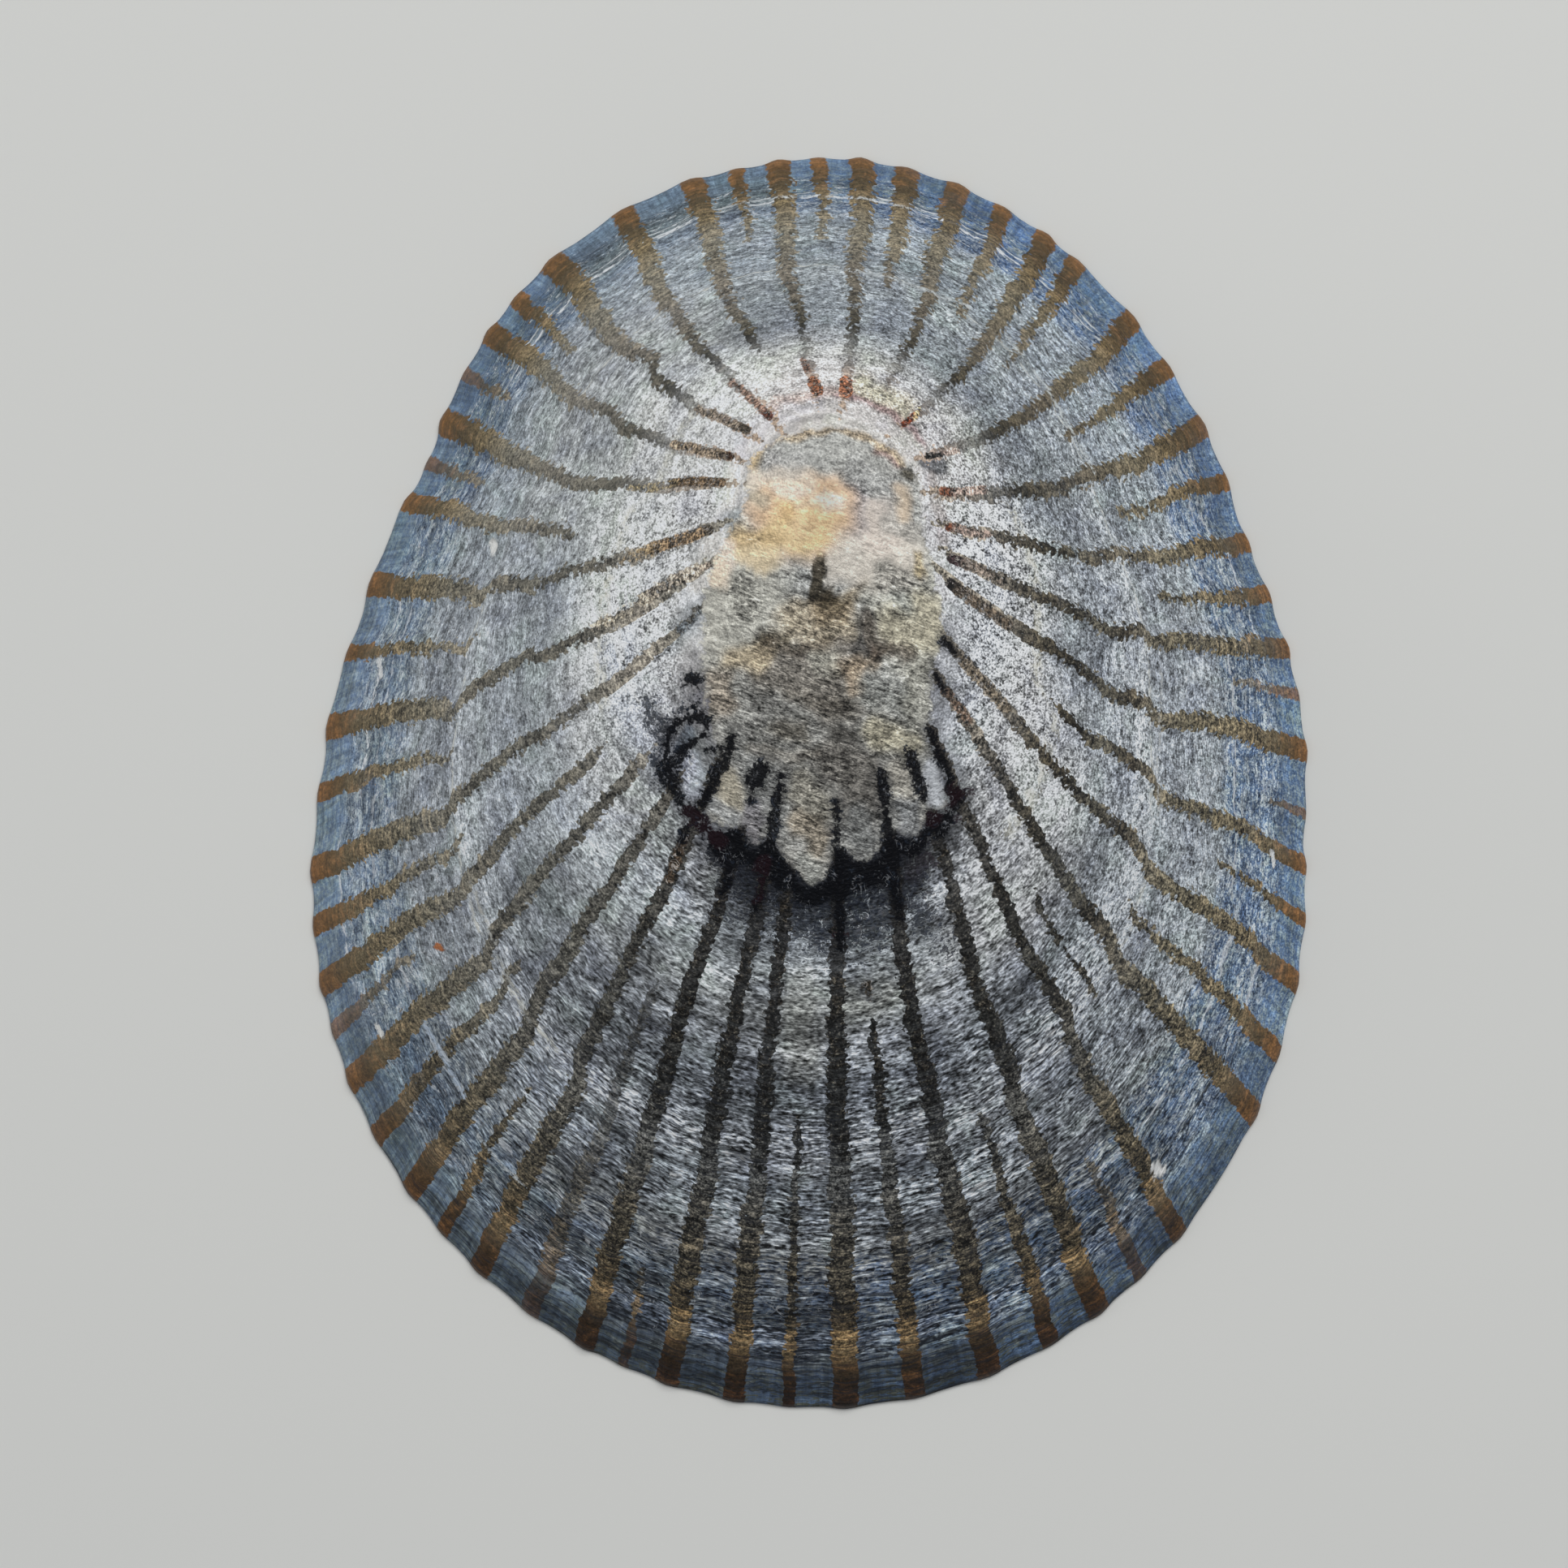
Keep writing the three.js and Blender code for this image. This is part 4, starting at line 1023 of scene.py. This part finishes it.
# Outside of the shell: tones along the way out at the front, the sides and the back
outsideLook = {
    # colours between the rays along the way out: at the front, the sides and the back, the back's
    # darker partly by painted shade of the back slope
    "frontGround": [(0.26, (204, 193, 184)), (0.32, (222, 216, 212)), (0.36, (204, 202, 200)),
                    (0.405, (190, 191, 187)), (0.445, (161, 164, 166)), (0.49, (128, 134, 140)),
                    (0.56, (133, 140, 145)), (0.65, (157, 164, 168)), (0.72, (134, 143, 151)),
                    (0.76, (158, 167, 173)), (0.815, (141, 151, 160)), (0.845, (120, 132, 145)),
                    (0.875, (112, 122, 126)), (0.91, (90, 101, 104)), (0.94, (97, 111, 122)),
                    (1.00, (107, 128, 148))],
    "sideGround": [(0.24, (186, 184, 183)), (0.34, (224, 229, 234)), (0.38, (223, 226, 226)),
                   (0.42, (201, 203, 203)), (0.46, (181, 186, 189)), (0.50, (155, 161, 165)),
                   (0.58, (155, 161, 167)), (0.66, (187, 193, 198)), (0.70, (150, 156, 163)),
                   (0.78, (158, 165, 171)), (0.845, (145, 155, 160)), (0.875, (126, 139, 150)),
                   (0.905, (154, 164, 168)), (0.94, (125, 139, 150)), (1.00, (125, 142, 150))],
    "backGroundAndShade": [(0.31, (84, 83, 88)), (0.40, (65, 68, 72)), (0.435, (175, 182, 188)),
                   (0.475, (180, 186, 189)), (0.515, (184, 188, 188)), (0.555, (145, 149, 154)),
                   (0.60, (110, 115, 121)), (0.64, (131, 136, 142)), (0.68, (175, 180, 187)),
                   (0.72, (115, 121, 126)), (0.78, (132, 138, 144)), (0.83, (105, 106, 104)),
                   (0.87, (84, 90, 96)), (0.90, (78, 82, 84)), (0.92, (117, 125, 138)),
                   (0.945, (109, 117, 124)), (0.965, (71, 77, 78)), (1.00, (45, 47, 40))],
    # the rays in the same three directions, the back's again darker partly by painted shade of the
    # back slope
    "frontRay": [(0.25, (170, 149, 130)), (0.32, (180, 162, 149)), (0.365, (111, 103, 96)),
                 (0.405, (82, 81, 75)), (0.445, (80, 80, 79)), (0.485, (44, 42, 31)),
                 (0.52, (83, 79, 68)), (0.60, (105, 100, 91)), (0.66, (122, 116, 105)),
                 (0.78, (130, 125, 110)), (0.86, (123, 108, 78)), (0.925, (89, 75, 51)),
                 (0.955, (89, 71, 44)), (1.00, (123, 86, 45))],
    "sideRay": [(0.24, (128, 122, 109)), (0.30, (159, 149, 135)), (0.35, (147, 139, 126)),
                (0.40, (70, 66, 58)), (0.46, (69, 63, 50)), (0.51, (29, 25, 15)),
                (0.56, (88, 85, 74)), (0.62, (56, 50, 39)), (0.67, (109, 103, 89)),
                (0.76, (104, 97, 78)), (0.86, (110, 99, 76)), (0.925, (112, 99, 74)),
                (0.955, (100, 81, 54)), (1.00, (125, 86, 46))],
    "backRayAndShade": [(0.32, (10, 10, 12)), (0.45, (36, 36, 36)), (0.50, (30, 30, 30)),
                (0.55, (23, 24, 24)), (0.65, (36, 37, 37)), (0.70, (74, 75, 74)),
                (0.80, (65, 62, 55)), (0.86, (62, 57, 46)), (0.90, (67, 58, 42)),
                (0.925, (113, 100, 76)), (0.945, (71, 58, 41)), (0.965, (41, 29, 16)),
                (1.00, (40, 22, 12))],
    "white": tone(228, 231, 234),
    "blue": tone(98, 130, 174),
    "greenTinge": tone(242, 250, 238),
    "lilacTinge": tone(240, 242, 255),
    "fineLine": tone(20, 24, 30),
    "sand": tone(134, 118, 92),
    "rust": tone(154, 108, 64),
    "brownWash": tone(219, 209, 188),
    "paleRay": tone(150, 148, 138),
    "ledge": tone(164, 134, 92),
    "speck": tone(150, 144, 128),
    "groove": tone(26, 29, 35),
    "fibre": tone(214, 206, 198),
    "worn": tone(174, 172, 164),
    "wornHair": tone(240, 236, 226),
    "smear": tone(24, 26, 32),
    "ink": tone(14, 15, 19),
    "maroon": tone(36, 18, 24),
    "inkSheen": tone(44, 52, 64),
    "inkFibre": tone(150, 152, 156),
    # growth lines: field, half-width, strength, thread values between which they show, tone
    "lines": [("paleWide", 0.016, 0.75, (0.40, 0.58), tone(206, 202, 180)),
              ("paleCheck", 0.0040, 0.95, (0.42, 0.52), tone(226, 226, 218)),
              ("paleFirst", 0.0035, 1.0, (0.36, 0.50), tone(228, 231, 234)),
              ("paleSecond", 0.0032, 1.0, (0.36, 0.50), tone(228, 231, 234)),
              ("darkFirst", 0.0042, 1.0, (0.62, 0.48), tone(18, 22, 28)),
              ("darkSecond", 0.0036, 1.0, (0.64, 0.50), tone(18, 22, 28)),
              ("darkThird", 0.0030, 1.0, (0.62, 0.48), tone(20, 24, 30)),
              ("darkFourth", 0.0040, 1.0, (0.62, 0.46), tone(26, 30, 38))],
    # fine dark lines on the young band, as shares of the way out
    "bandLines": (0.957, 0.966, 0.975, 0.984),
}


def makeOutside(look):
    desk = NodeDesk("limpetOutside")
    noise, blend, step, slide = desk.noise, desk.blend, desk.step, desk.slide
    plus, less, times, product, line = desk.plus, desk.less, desk.times, desk.product, desk.line
    mix, vary = desk.mix, desk.vary
    grain = desk.field("grain")["Vector"]
    wayOut = desk.number("wayOut")
    worn = desk.number("wornLevel")
    place = desk.put("ShaderNodeTexCoord").outputs["Object"]
    turn = desk.split(grain)

    # share of the front's and of the back's colours, share of the right side, and 1 on the
    # weathered shell inside the smooth young band of the rim
    front = step(turn[0], 0.20, 0.85)
    back = step(turn[0], -0.40, -1.04)
    right = step(turn[1], -0.35, 0.80)
    weathered = step(wayOut, 0.955, 0.930)

    # noises with no direction, fine to broad
    dust = noise(place, (9500, 9500, 9500), 1.0, 0.5)
    grit = noise(place, (4300, 4300, 4300), 2.5, 0.75, 0.3)
    nick = noise(place, (4200, 4200, 4200), 0.5, 0.5, 0.2)
    blotch = noise(place, (1000, 1300, 1000), 4.0, 0.66, 0.8)
    hue = noise(place, (420, 420, 420), 2.0, 0.6, 0.5)
    cloud = noise(place, (210, 210, 210), 3.0, 0.55)

    # noises drawn out along the growth lines, and one drawn out along the rays
    hairline = noise(grain, (60, 60, 430), 1.0, 0.5)
    thread = noise(grain, (24, 24, 90), 3.0, 0.66, 0.4)
    stroke = noise(grain, (10, 10, 210), 2.5, 0.66, 0.2)
    dash = noise(grain, (34, 34, 230), 2.0, 0.6, 0.5)
    squiggle = noise(grain, (28, 28, 84), 1.5, 0.6, 1.3)
    groove = noise(grain, (5, 5, 125), 2.0, 0.55, 0.4)
    ring = noise(grain, (1.6, 1.6, 70), 3.0, 0.6)
    combed = noise(grain, (95, 95, 9), 3.0, 0.7)

    # signed texture about 0, and thin curved lines where the squiggle is near its middle
    crossed = blend((thread, 1.0), (grit, 1.1), (dust, 0.6), (hairline, 0.8), (blotch, 0.45))
    softer = blend((thread, 0.9), (grit, 0.8), (blotch, 0.9), (squiggle, 0.4), (dust, 1.1))
    strewn = blend((dash, 1.2), (stroke, 0.9), (grit, 0.6), (hairline, 1.4), (blotch, 0.35))
    brushed = blend((stroke, 1.6), (grit, 0.8), (hairline, 1.5))
    ahead = slide(step(wayOut, 0.56, 0.40), crossed, softer)
    behind = slide(step(wayOut, 0.56, 0.70), strewn, brushed)
    texture = slide(back, ahead, behind)
    curl = times(step(desk.apart(squiggle, 0.5), 0.036, 0.008), step(thread, 0.46, 0.60))

    # ground colour: the zones follow the older check, and are pushed in and out a little
    pull = times(less(desk.number("checkAt"), checkMean), step(wayOut, 0.83, 0.70))
    zone = less(line(texture, 0.020, wayOut), pull)
    zone = line(less(cloud, 0.5), 0.03, zone)
    ground = mix(front, desk.ramp(zone, look["sideGround"]), desk.ramp(zone, look["frontGround"]))
    # the back's colours are its own darker tone together with painted shade of the back slope
    ground = mix(back, ground, desk.ramp(zone, look["backGroundAndShade"]))

    # halo round the worn patch, and wide pale or dull areas
    around = desk.field("roundTint")
    ground = mix(around["Alpha"], ground, around["Color"])

    # patches of blue coat near the rim, and a slight drift to green or lilac all over
    coat = times(step(zone, 0.800, 0.825), desk.number("blueCoat"))
    coat = times(coat, step(line(texture, -0.9, blotch), 0.36, 0.62))
    ground = mix(times(coat, 0.8), ground, look["blue"])
    ground = mix(step(hue, 0.50, 0.70, 0.0, 0.5), ground, look["greenTinge"], "MULTIPLY")
    ground = mix(step(hue, 0.50, 0.30, 0.0, 0.5), ground, look["lilacTinge"], "MULTIPLY")

    # growth bands and broad patches, then the texture: most at the back, least on the band
    # and close to the worn patch
    broad = times(blend((cloud, 0.7)), line(back, 1.2, 0.8))
    ground = vary(ground, line(less(ring, 0.5), line(back, 0.9, 0.7), broad))
    calm = step(worn, -1.5, -0.7, 1.0, 0.40)
    amount = product(line(back, 0.80, line(right, 0.30, 1.12)), line(weathered, 0.55, 0.45),
                     step(wayOut, 0.50, 0.36, 1.0, line(front, -0.45, 1.3)), calm,
                     slide(times(back, step(wayOut, 0.66, 0.52)), 1.0, 0.66))
    ground = vary(ground, times(texture, amount))
    ground = vary(ground, times(blend((dust, 1.0), (grit, 0.5)), times(right, 0.55)))

    # painted glints, white at the texture's peaks, and white curls
    paintedGlint = step(texture, 0.30, 0.52, 0.0, line(back, -0.6, 0.8))
    ground = mix(times(paintedGlint, line(weathered, 0.7, 0.3)), ground, look["white"])
    fleck = times(curl, line(back, -0.32, step(wayOut, 0.55, 0.85, 0.30, 0.60)), clamp=True)
    ground = mix(product(fleck, weathered, calm), ground, look["white"])

    # radial streaks on the young band
    ground = vary(ground, times(less(1.0, weathered), blend((combed, 0.8))))

    # growth lines that run part of the way round, and fine ones all round the young band
    waved = line(less(squiggle, 0.5), 0.016, times(less(thread, 0.5), 0.012))
    for name, width, strength, gate, shade in look["lines"]:
        parts = desk.split(desk.field(name)["Vector"])
        off = desk.calc("ABSOLUTE", plus(parts[0], waved))
        share = times(step(off, width, width * 0.25, 0.0, strength), parts[1])
        ground = mix(times(share, step(thread, *gate)), ground, shade)
    onLine = None
    for at in look["bandLines"]:
        thisLine = step(desk.apart(plus(wayOut, waved), at), 0.0016, 0.0004)
        onLine = thisLine if onLine is None else desk.calc("MAXIMUM", onLine, thisLine)
    ground = mix(times(onLine, line(back, 0.50, 0.10)), ground, look["fineLine"])

    # blue-black shade round the ink, in splotches crossed by white fibres
    shade = desk.field("shadeTint")
    splotch = plus(shade["Alpha"], blend((blotch, 1.0), (grit, 1.2), (dash, 1.0), (hairline, 0.7)))
    shaded = product(step(splotch, 0.46, 0.62), step(shade["Alpha"], 0.02, 0.30, 0.0, 0.92),
                     line(curl, -0.75, 1.0))
    ground = mix(shaded, ground, vary(shade["Color"], blend((grit, 3.0))))

    # rays: noise on their level makes fine uneven edges, calmer on the young band
    rough = product(blend((nick, 0.9), (thread, 0.4), (blotch, 1.0), (stroke, 0.3)),
                    line(weathered, 0.65, 0.35), line(front, -0.42, 1.0))
    level = plus(plus(desk.number("rayLevel"), 0.04), rough)
    faint = times(desk.number("rayFaint"), step(cloud, 0.25, 0.50, 0.88, 0.98))
    onRay = times(step(level, -0.035, 0.035), faint)

    # their colour: brown at the front right, paler at the left, sandy to rusty outward
    ray = mix(front, desk.ramp(zone, look["sideRay"]), desk.ramp(zone, look["frontRay"]))
    # the back's ray colours are their own darker tone together with painted shade of the back slope
    ray = mix(back, ray, desk.ramp(zone, look["backRayAndShade"]))
    brown = product(front, right, step(wayOut, 0.34, 0.42), weathered)
    ray = mix(brown, ray, look["brownWash"], "MULTIPLY")
    pale = times(step(turn[1], -0.30, -0.90), step(wayOut, 0.90, 0.70, 0.0, 0.30))
    ray = mix(pale, ray, look["paleRay"])
    sandGain = line(back, -1.2, step(wayOut, 0.55, 0.88, 0.4, 1.7))
    sandy = times(blend((blotch, 1.3), (stroke, 0.7)), sandGain, clamp=True)
    ray = mix(sandy, ray, mix(step(wayOut, 0.84, 0.96), look["sand"], look["rust"]))
    ledge = product(step(zone, 0.902, 0.916), step(zone, 0.950, 0.936), back,
                    step(texture, -0.12, 0.16, 0.15, 0.75))
    ray = mix(ledge, ray, look["ledge"])
    mottle = blend((blotch, 0.9), (grit, 1.5), (stroke, 1.0), (dust, 0.9))
    rayGain = product(line(back, 0.6, 2.0), step(wayOut, 0.86, 0.95, 1.0, 0.34),
                      line(front, -0.45, 1.0), step(turn[1], -0.20, -0.85, 1.0, 0.70))
    ray = vary(ray, times(mottle, rayGain))
    speckTop = times(step(turn[1], -0.20, -0.85, 1.0, 0.5), 0.36)
    speck = step(blend((dust, 1.0), (grit, 1.0)), 0.18, 0.28, 0.0, speckTop)
    speck = times(speck, times(weathered, line(front, -0.6, 1.0)))
    ray = mix(speck, ray, look["speck"])
    colour = mix(onRay, ground, ray)

    # thin dark grooves along the growth lines at the back, over ground and rays
    grooved = times(step(desk.apart(groove, 0.5), 0.050, 0.012, 0.0, 0.75), step(stroke, 0.38, 0.60))
    grooved = times(grooved, times(step(turn[0], -0.30, -0.85), step(wayOut, 0.60, 0.66)))
    colour = mix(grooved, colour, look["groove"])

    # stained inner ends of the rays
    ends = desk.field("markTint")
    onEnd = step(plus(blend((grit, 1.6), (blotch, 1.6)), ends["Alpha"]), 0.42, 0.80)
    endColour = vary(ends["Color"], times(mottle, 2.4))
    colour = mix(onEnd, colour, mix(times(curl, 0.6), endColour, look["fibre"]))

    # worn patch: soft tints under slanted fibres, speckled instead at its front end
    slant = desk.put("ShaderNodeMapping", (place, (0, 0, 0), (0, 0, 0.34), (1, 1, 1))).outputs[0]
    fuzz = noise(slant, (1500, 5200, 1500), 3.0, 0.70, 1.2)
    onPatch = step(plus(worn, blend((grit, 0.8), (blotch, 1.0))), -0.12, 0.14)
    tint = desk.field("patchTint")
    patch = mix(tint["Alpha"], look["worn"], tint["Color"])
    paleness = desk.put("ShaderNodeRGBToBW", (patch,)).outputs[0]
    fibrous = blend((blotch, 0.9), (fuzz, 1.6), (grit, 0.7), (dust, 0.5))
    speckled = blend((blotch, 1.0), (grit, 0.8), (dust, 0.8), (fuzz, 0.7))
    wornTexture = slide(step(desk.split(place)[1], 0.0128, 0.0142), fibrous, speckled)
    patch = vary(patch, times(step(paleness, 0.30, 0.55, 1.70, 0.48), wornTexture))
    hair = step(blend((fuzz, 1.0), (grit, 0.6)), 0.12, 0.32, 0.0, 0.55)
    colour = mix(onPatch, colour, mix(hair, patch, look["wornHair"]))

    # black lines with a soft smear beside them, stained maroon in places, and the chips last
    ragged = plus(desk.number("inkLevel"), blend((grit, 0.9), (blotch, 1.1), (thread, 0.2)))
    smear = step(plus(ragged, blend((grit, 1.5))), -0.50, 0.10, 0.0, 0.50)
    colour = mix(smear, colour, look["smear"])
    onInk = step(ragged, -0.07, 0.10, 0.0, 0.97)
    stain = step(plus(blend((blotch, 1.6)), desk.number("maroonShare")), 0.55, 0.95, 0.0, 0.60)
    ink = mix(stain, look["ink"], look["maroon"])
    ink = mix(step(blend((blotch, 1.0), (grit, 1.0)), 0.08, 0.30, 0.0, 0.6), ink, look["inkSheen"])
    colour = mix(onInk, colour, ink)
    fibres = times(onInk, times(curl, step(blotch, 0.46, 0.62, 0.0, 0.5)))
    colour = mix(fibres, colour, look["inkFibre"])
    chip = desk.field("chipTint")
    onChip = step(plus(blend((grit, 1.2)), chip["Alpha"]), 0.25, 0.65)
    colour = mix(onChip, colour, chip["Color"])

    # gloss and sheen: the young rim is smoother than the weathered top, the back duller
    gloss = line(thread, 0.16, line(weathered, 0.12, 0.44))
    gloss = less(gloss, times(onInk, 0.10))
    sheen = desk.calc("MAXIMUM", line(back, -0.12, line(onInk, -0.20, 0.30)), 0.06)

    # relief: threads and grit as shallow scratches, and the fibres in the patch a little
    height = times(texture, line(weathered, 0.75, 0.25))
    height = line(times(fuzz, onPatch), 0.5, height)
    return desk.surface(colour, gloss, 1.5, sheen, height, 0.6, 0.00012)


# Inside of the shell
insideLook = {
    "ground": [(0.00, (214, 190, 152)), (0.22, (206, 180, 142)), (0.40, (186, 176, 164)),
               (0.50, (190, 194, 198)), (0.68, (196, 204, 212)), (0.86, (168, 182, 196)),
               (0.94, (128, 146, 166)), (1.00, (96, 114, 136))],
    "ray": [(0.40, (150, 140, 128)), (0.70, (112, 108, 106)), (0.90, (84, 66, 52)),
            (1.00, (110, 68, 42))],
    "paleStreak": tone(226, 230, 234),
    "dullStreak": tone(126, 138, 152),
    "pink": tone(206, 190, 200),
}


def makeInside(look):
    desk = NodeDesk("limpetInside")
    step, mix = desk.step, desk.mix
    grain = desk.field("grain")["Vector"]
    wayOut = desk.number("wayOut")
    place = desk.put("ShaderNodeTexCoord").outputs["Object"]
    streak = desk.noise(grain, (5, 5, 60), 4.0, 0.55, 0.3)
    cloud = desk.noise(place, (140, 140, 140), 4.0, 0.55, 0.6)
    fine = desk.noise(grain, (60, 60, 260), 3.0, 0.6)

    # bands from the tan scar outward, streaked pale and dull, with a touch of pink
    colour = desk.ramp(desk.line(cloud, 0.10, desk.plus(wayOut, -0.05)), look["ground"])
    colour = mix(step(streak, 0.50, 0.72, 0.0, 0.35), colour, look["paleStreak"])
    colour = mix(step(streak, 0.48, 0.30, 0.0, 0.30), colour, look["dullStreak"])
    colour = mix(step(cloud, 0.55, 0.72, 0.0, 0.22), colour, look["pink"])

    # the rays show through toward the margin
    level = desk.line(fine, 0.5, desk.plus(desk.number("rayLevel"), -0.25))
    seen = desk.times(step(level, -0.20, 0.20), step(wayOut, 0.52, 0.99, 0.05, 0.92))
    colour = mix(seen, colour, desk.ramp(wayOut, look["ray"]))
    height = desk.plus(streak, desk.times(fine, 0.3))
    return desk.surface(colour, desk.line(cloud, 0.14, 0.20), 1.55, 0.6, height, 0.25, 0.0001)


shellMesh.materials.append(makeOutside(outsideLook))
shellMesh.materials.append(makeInside(insideLook))

shell = bpy.data.objects.new("limpetShell", shellMesh)
bpy.context.scene.collection.objects.link(shell)
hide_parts("shell")
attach(shell, "root")
print("shell built", len(shellMesh.vertices), "points", len(shellMesh.polygons), "faces")


# Floor: a plain pale square under the rim
def makeFloor(half):
    mesh = bpy.data.meshes.new("floor")
    corners = [(-half, -half, 0), (half, -half, 0), (half, half, 0), (-half, half, 0)]
    mesh.from_pydata(corners, [], [(0, 1, 2, 3)])
    mesh.materials.append(NodeDesk("floorPaper").surface(tone(214, 214, 210), 0.9))
    floor = bpy.data.objects.new("floor", mesh)
    bpy.context.scene.collection.objects.link(floor)


# Soft square lamp that faces the shell
def addLamp(name, position, size, power, colour=(1, 1, 1)):
    lamp = bpy.data.lights.new(name, "AREA")
    lamp.size = size
    lamp.energy = power
    lamp.color = colour
    holder = bpy.data.objects.new(name, lamp)
    holder.location = position
    holder.rotation_euler = (Vector((0, 0, 0)) - Vector(position)).to_track_quat("-Z", "Y").to_euler()
    bpy.context.scene.collection.objects.link(holder)


makeFloor(1.2)
addLamp("overheadLamp", (0.09, 0.25, 0.46), 0.34, 1.95)
addLamp("sideLamp", (-0.50, 0.05, 0.40), 0.45, 0.55)
addLamp("backLamp", (0.20, -0.50, 0.45), 0.45, 0.22)

world = bpy.data.worlds.new("studio")
world.use_nodes = True
world.node_tree.nodes["Background"].inputs[0].default_value = (0.90, 0.94, 1.00, 1)
world.node_tree.nodes["Background"].inputs[1].default_value = 0.24
bpy.context.scene.world = world
bpy.context.scene.view_settings.view_transform = "Standard"

# Camera straight above the middle of the photograph's frame, looking down, +Y up
view = {"x": -1.24, "y": -0.04, "height": 190.0, "across": 78.28}
camera = bpy.data.cameras.new("photoCamera")
camera.sensor_width = 36.0
camera.lens = camera.sensor_width * view["height"] / view["across"]
camera.clip_start = 0.01
camera.clip_end = 10.0
cameraObject = bpy.data.objects.new("photoCamera", camera)
cameraObject.location = (view["x"] * mm, view["y"] * mm, view["height"] * mm)
bpy.context.scene.collection.objects.link(cameraObject)
bpy.context.scene.camera = cameraObject
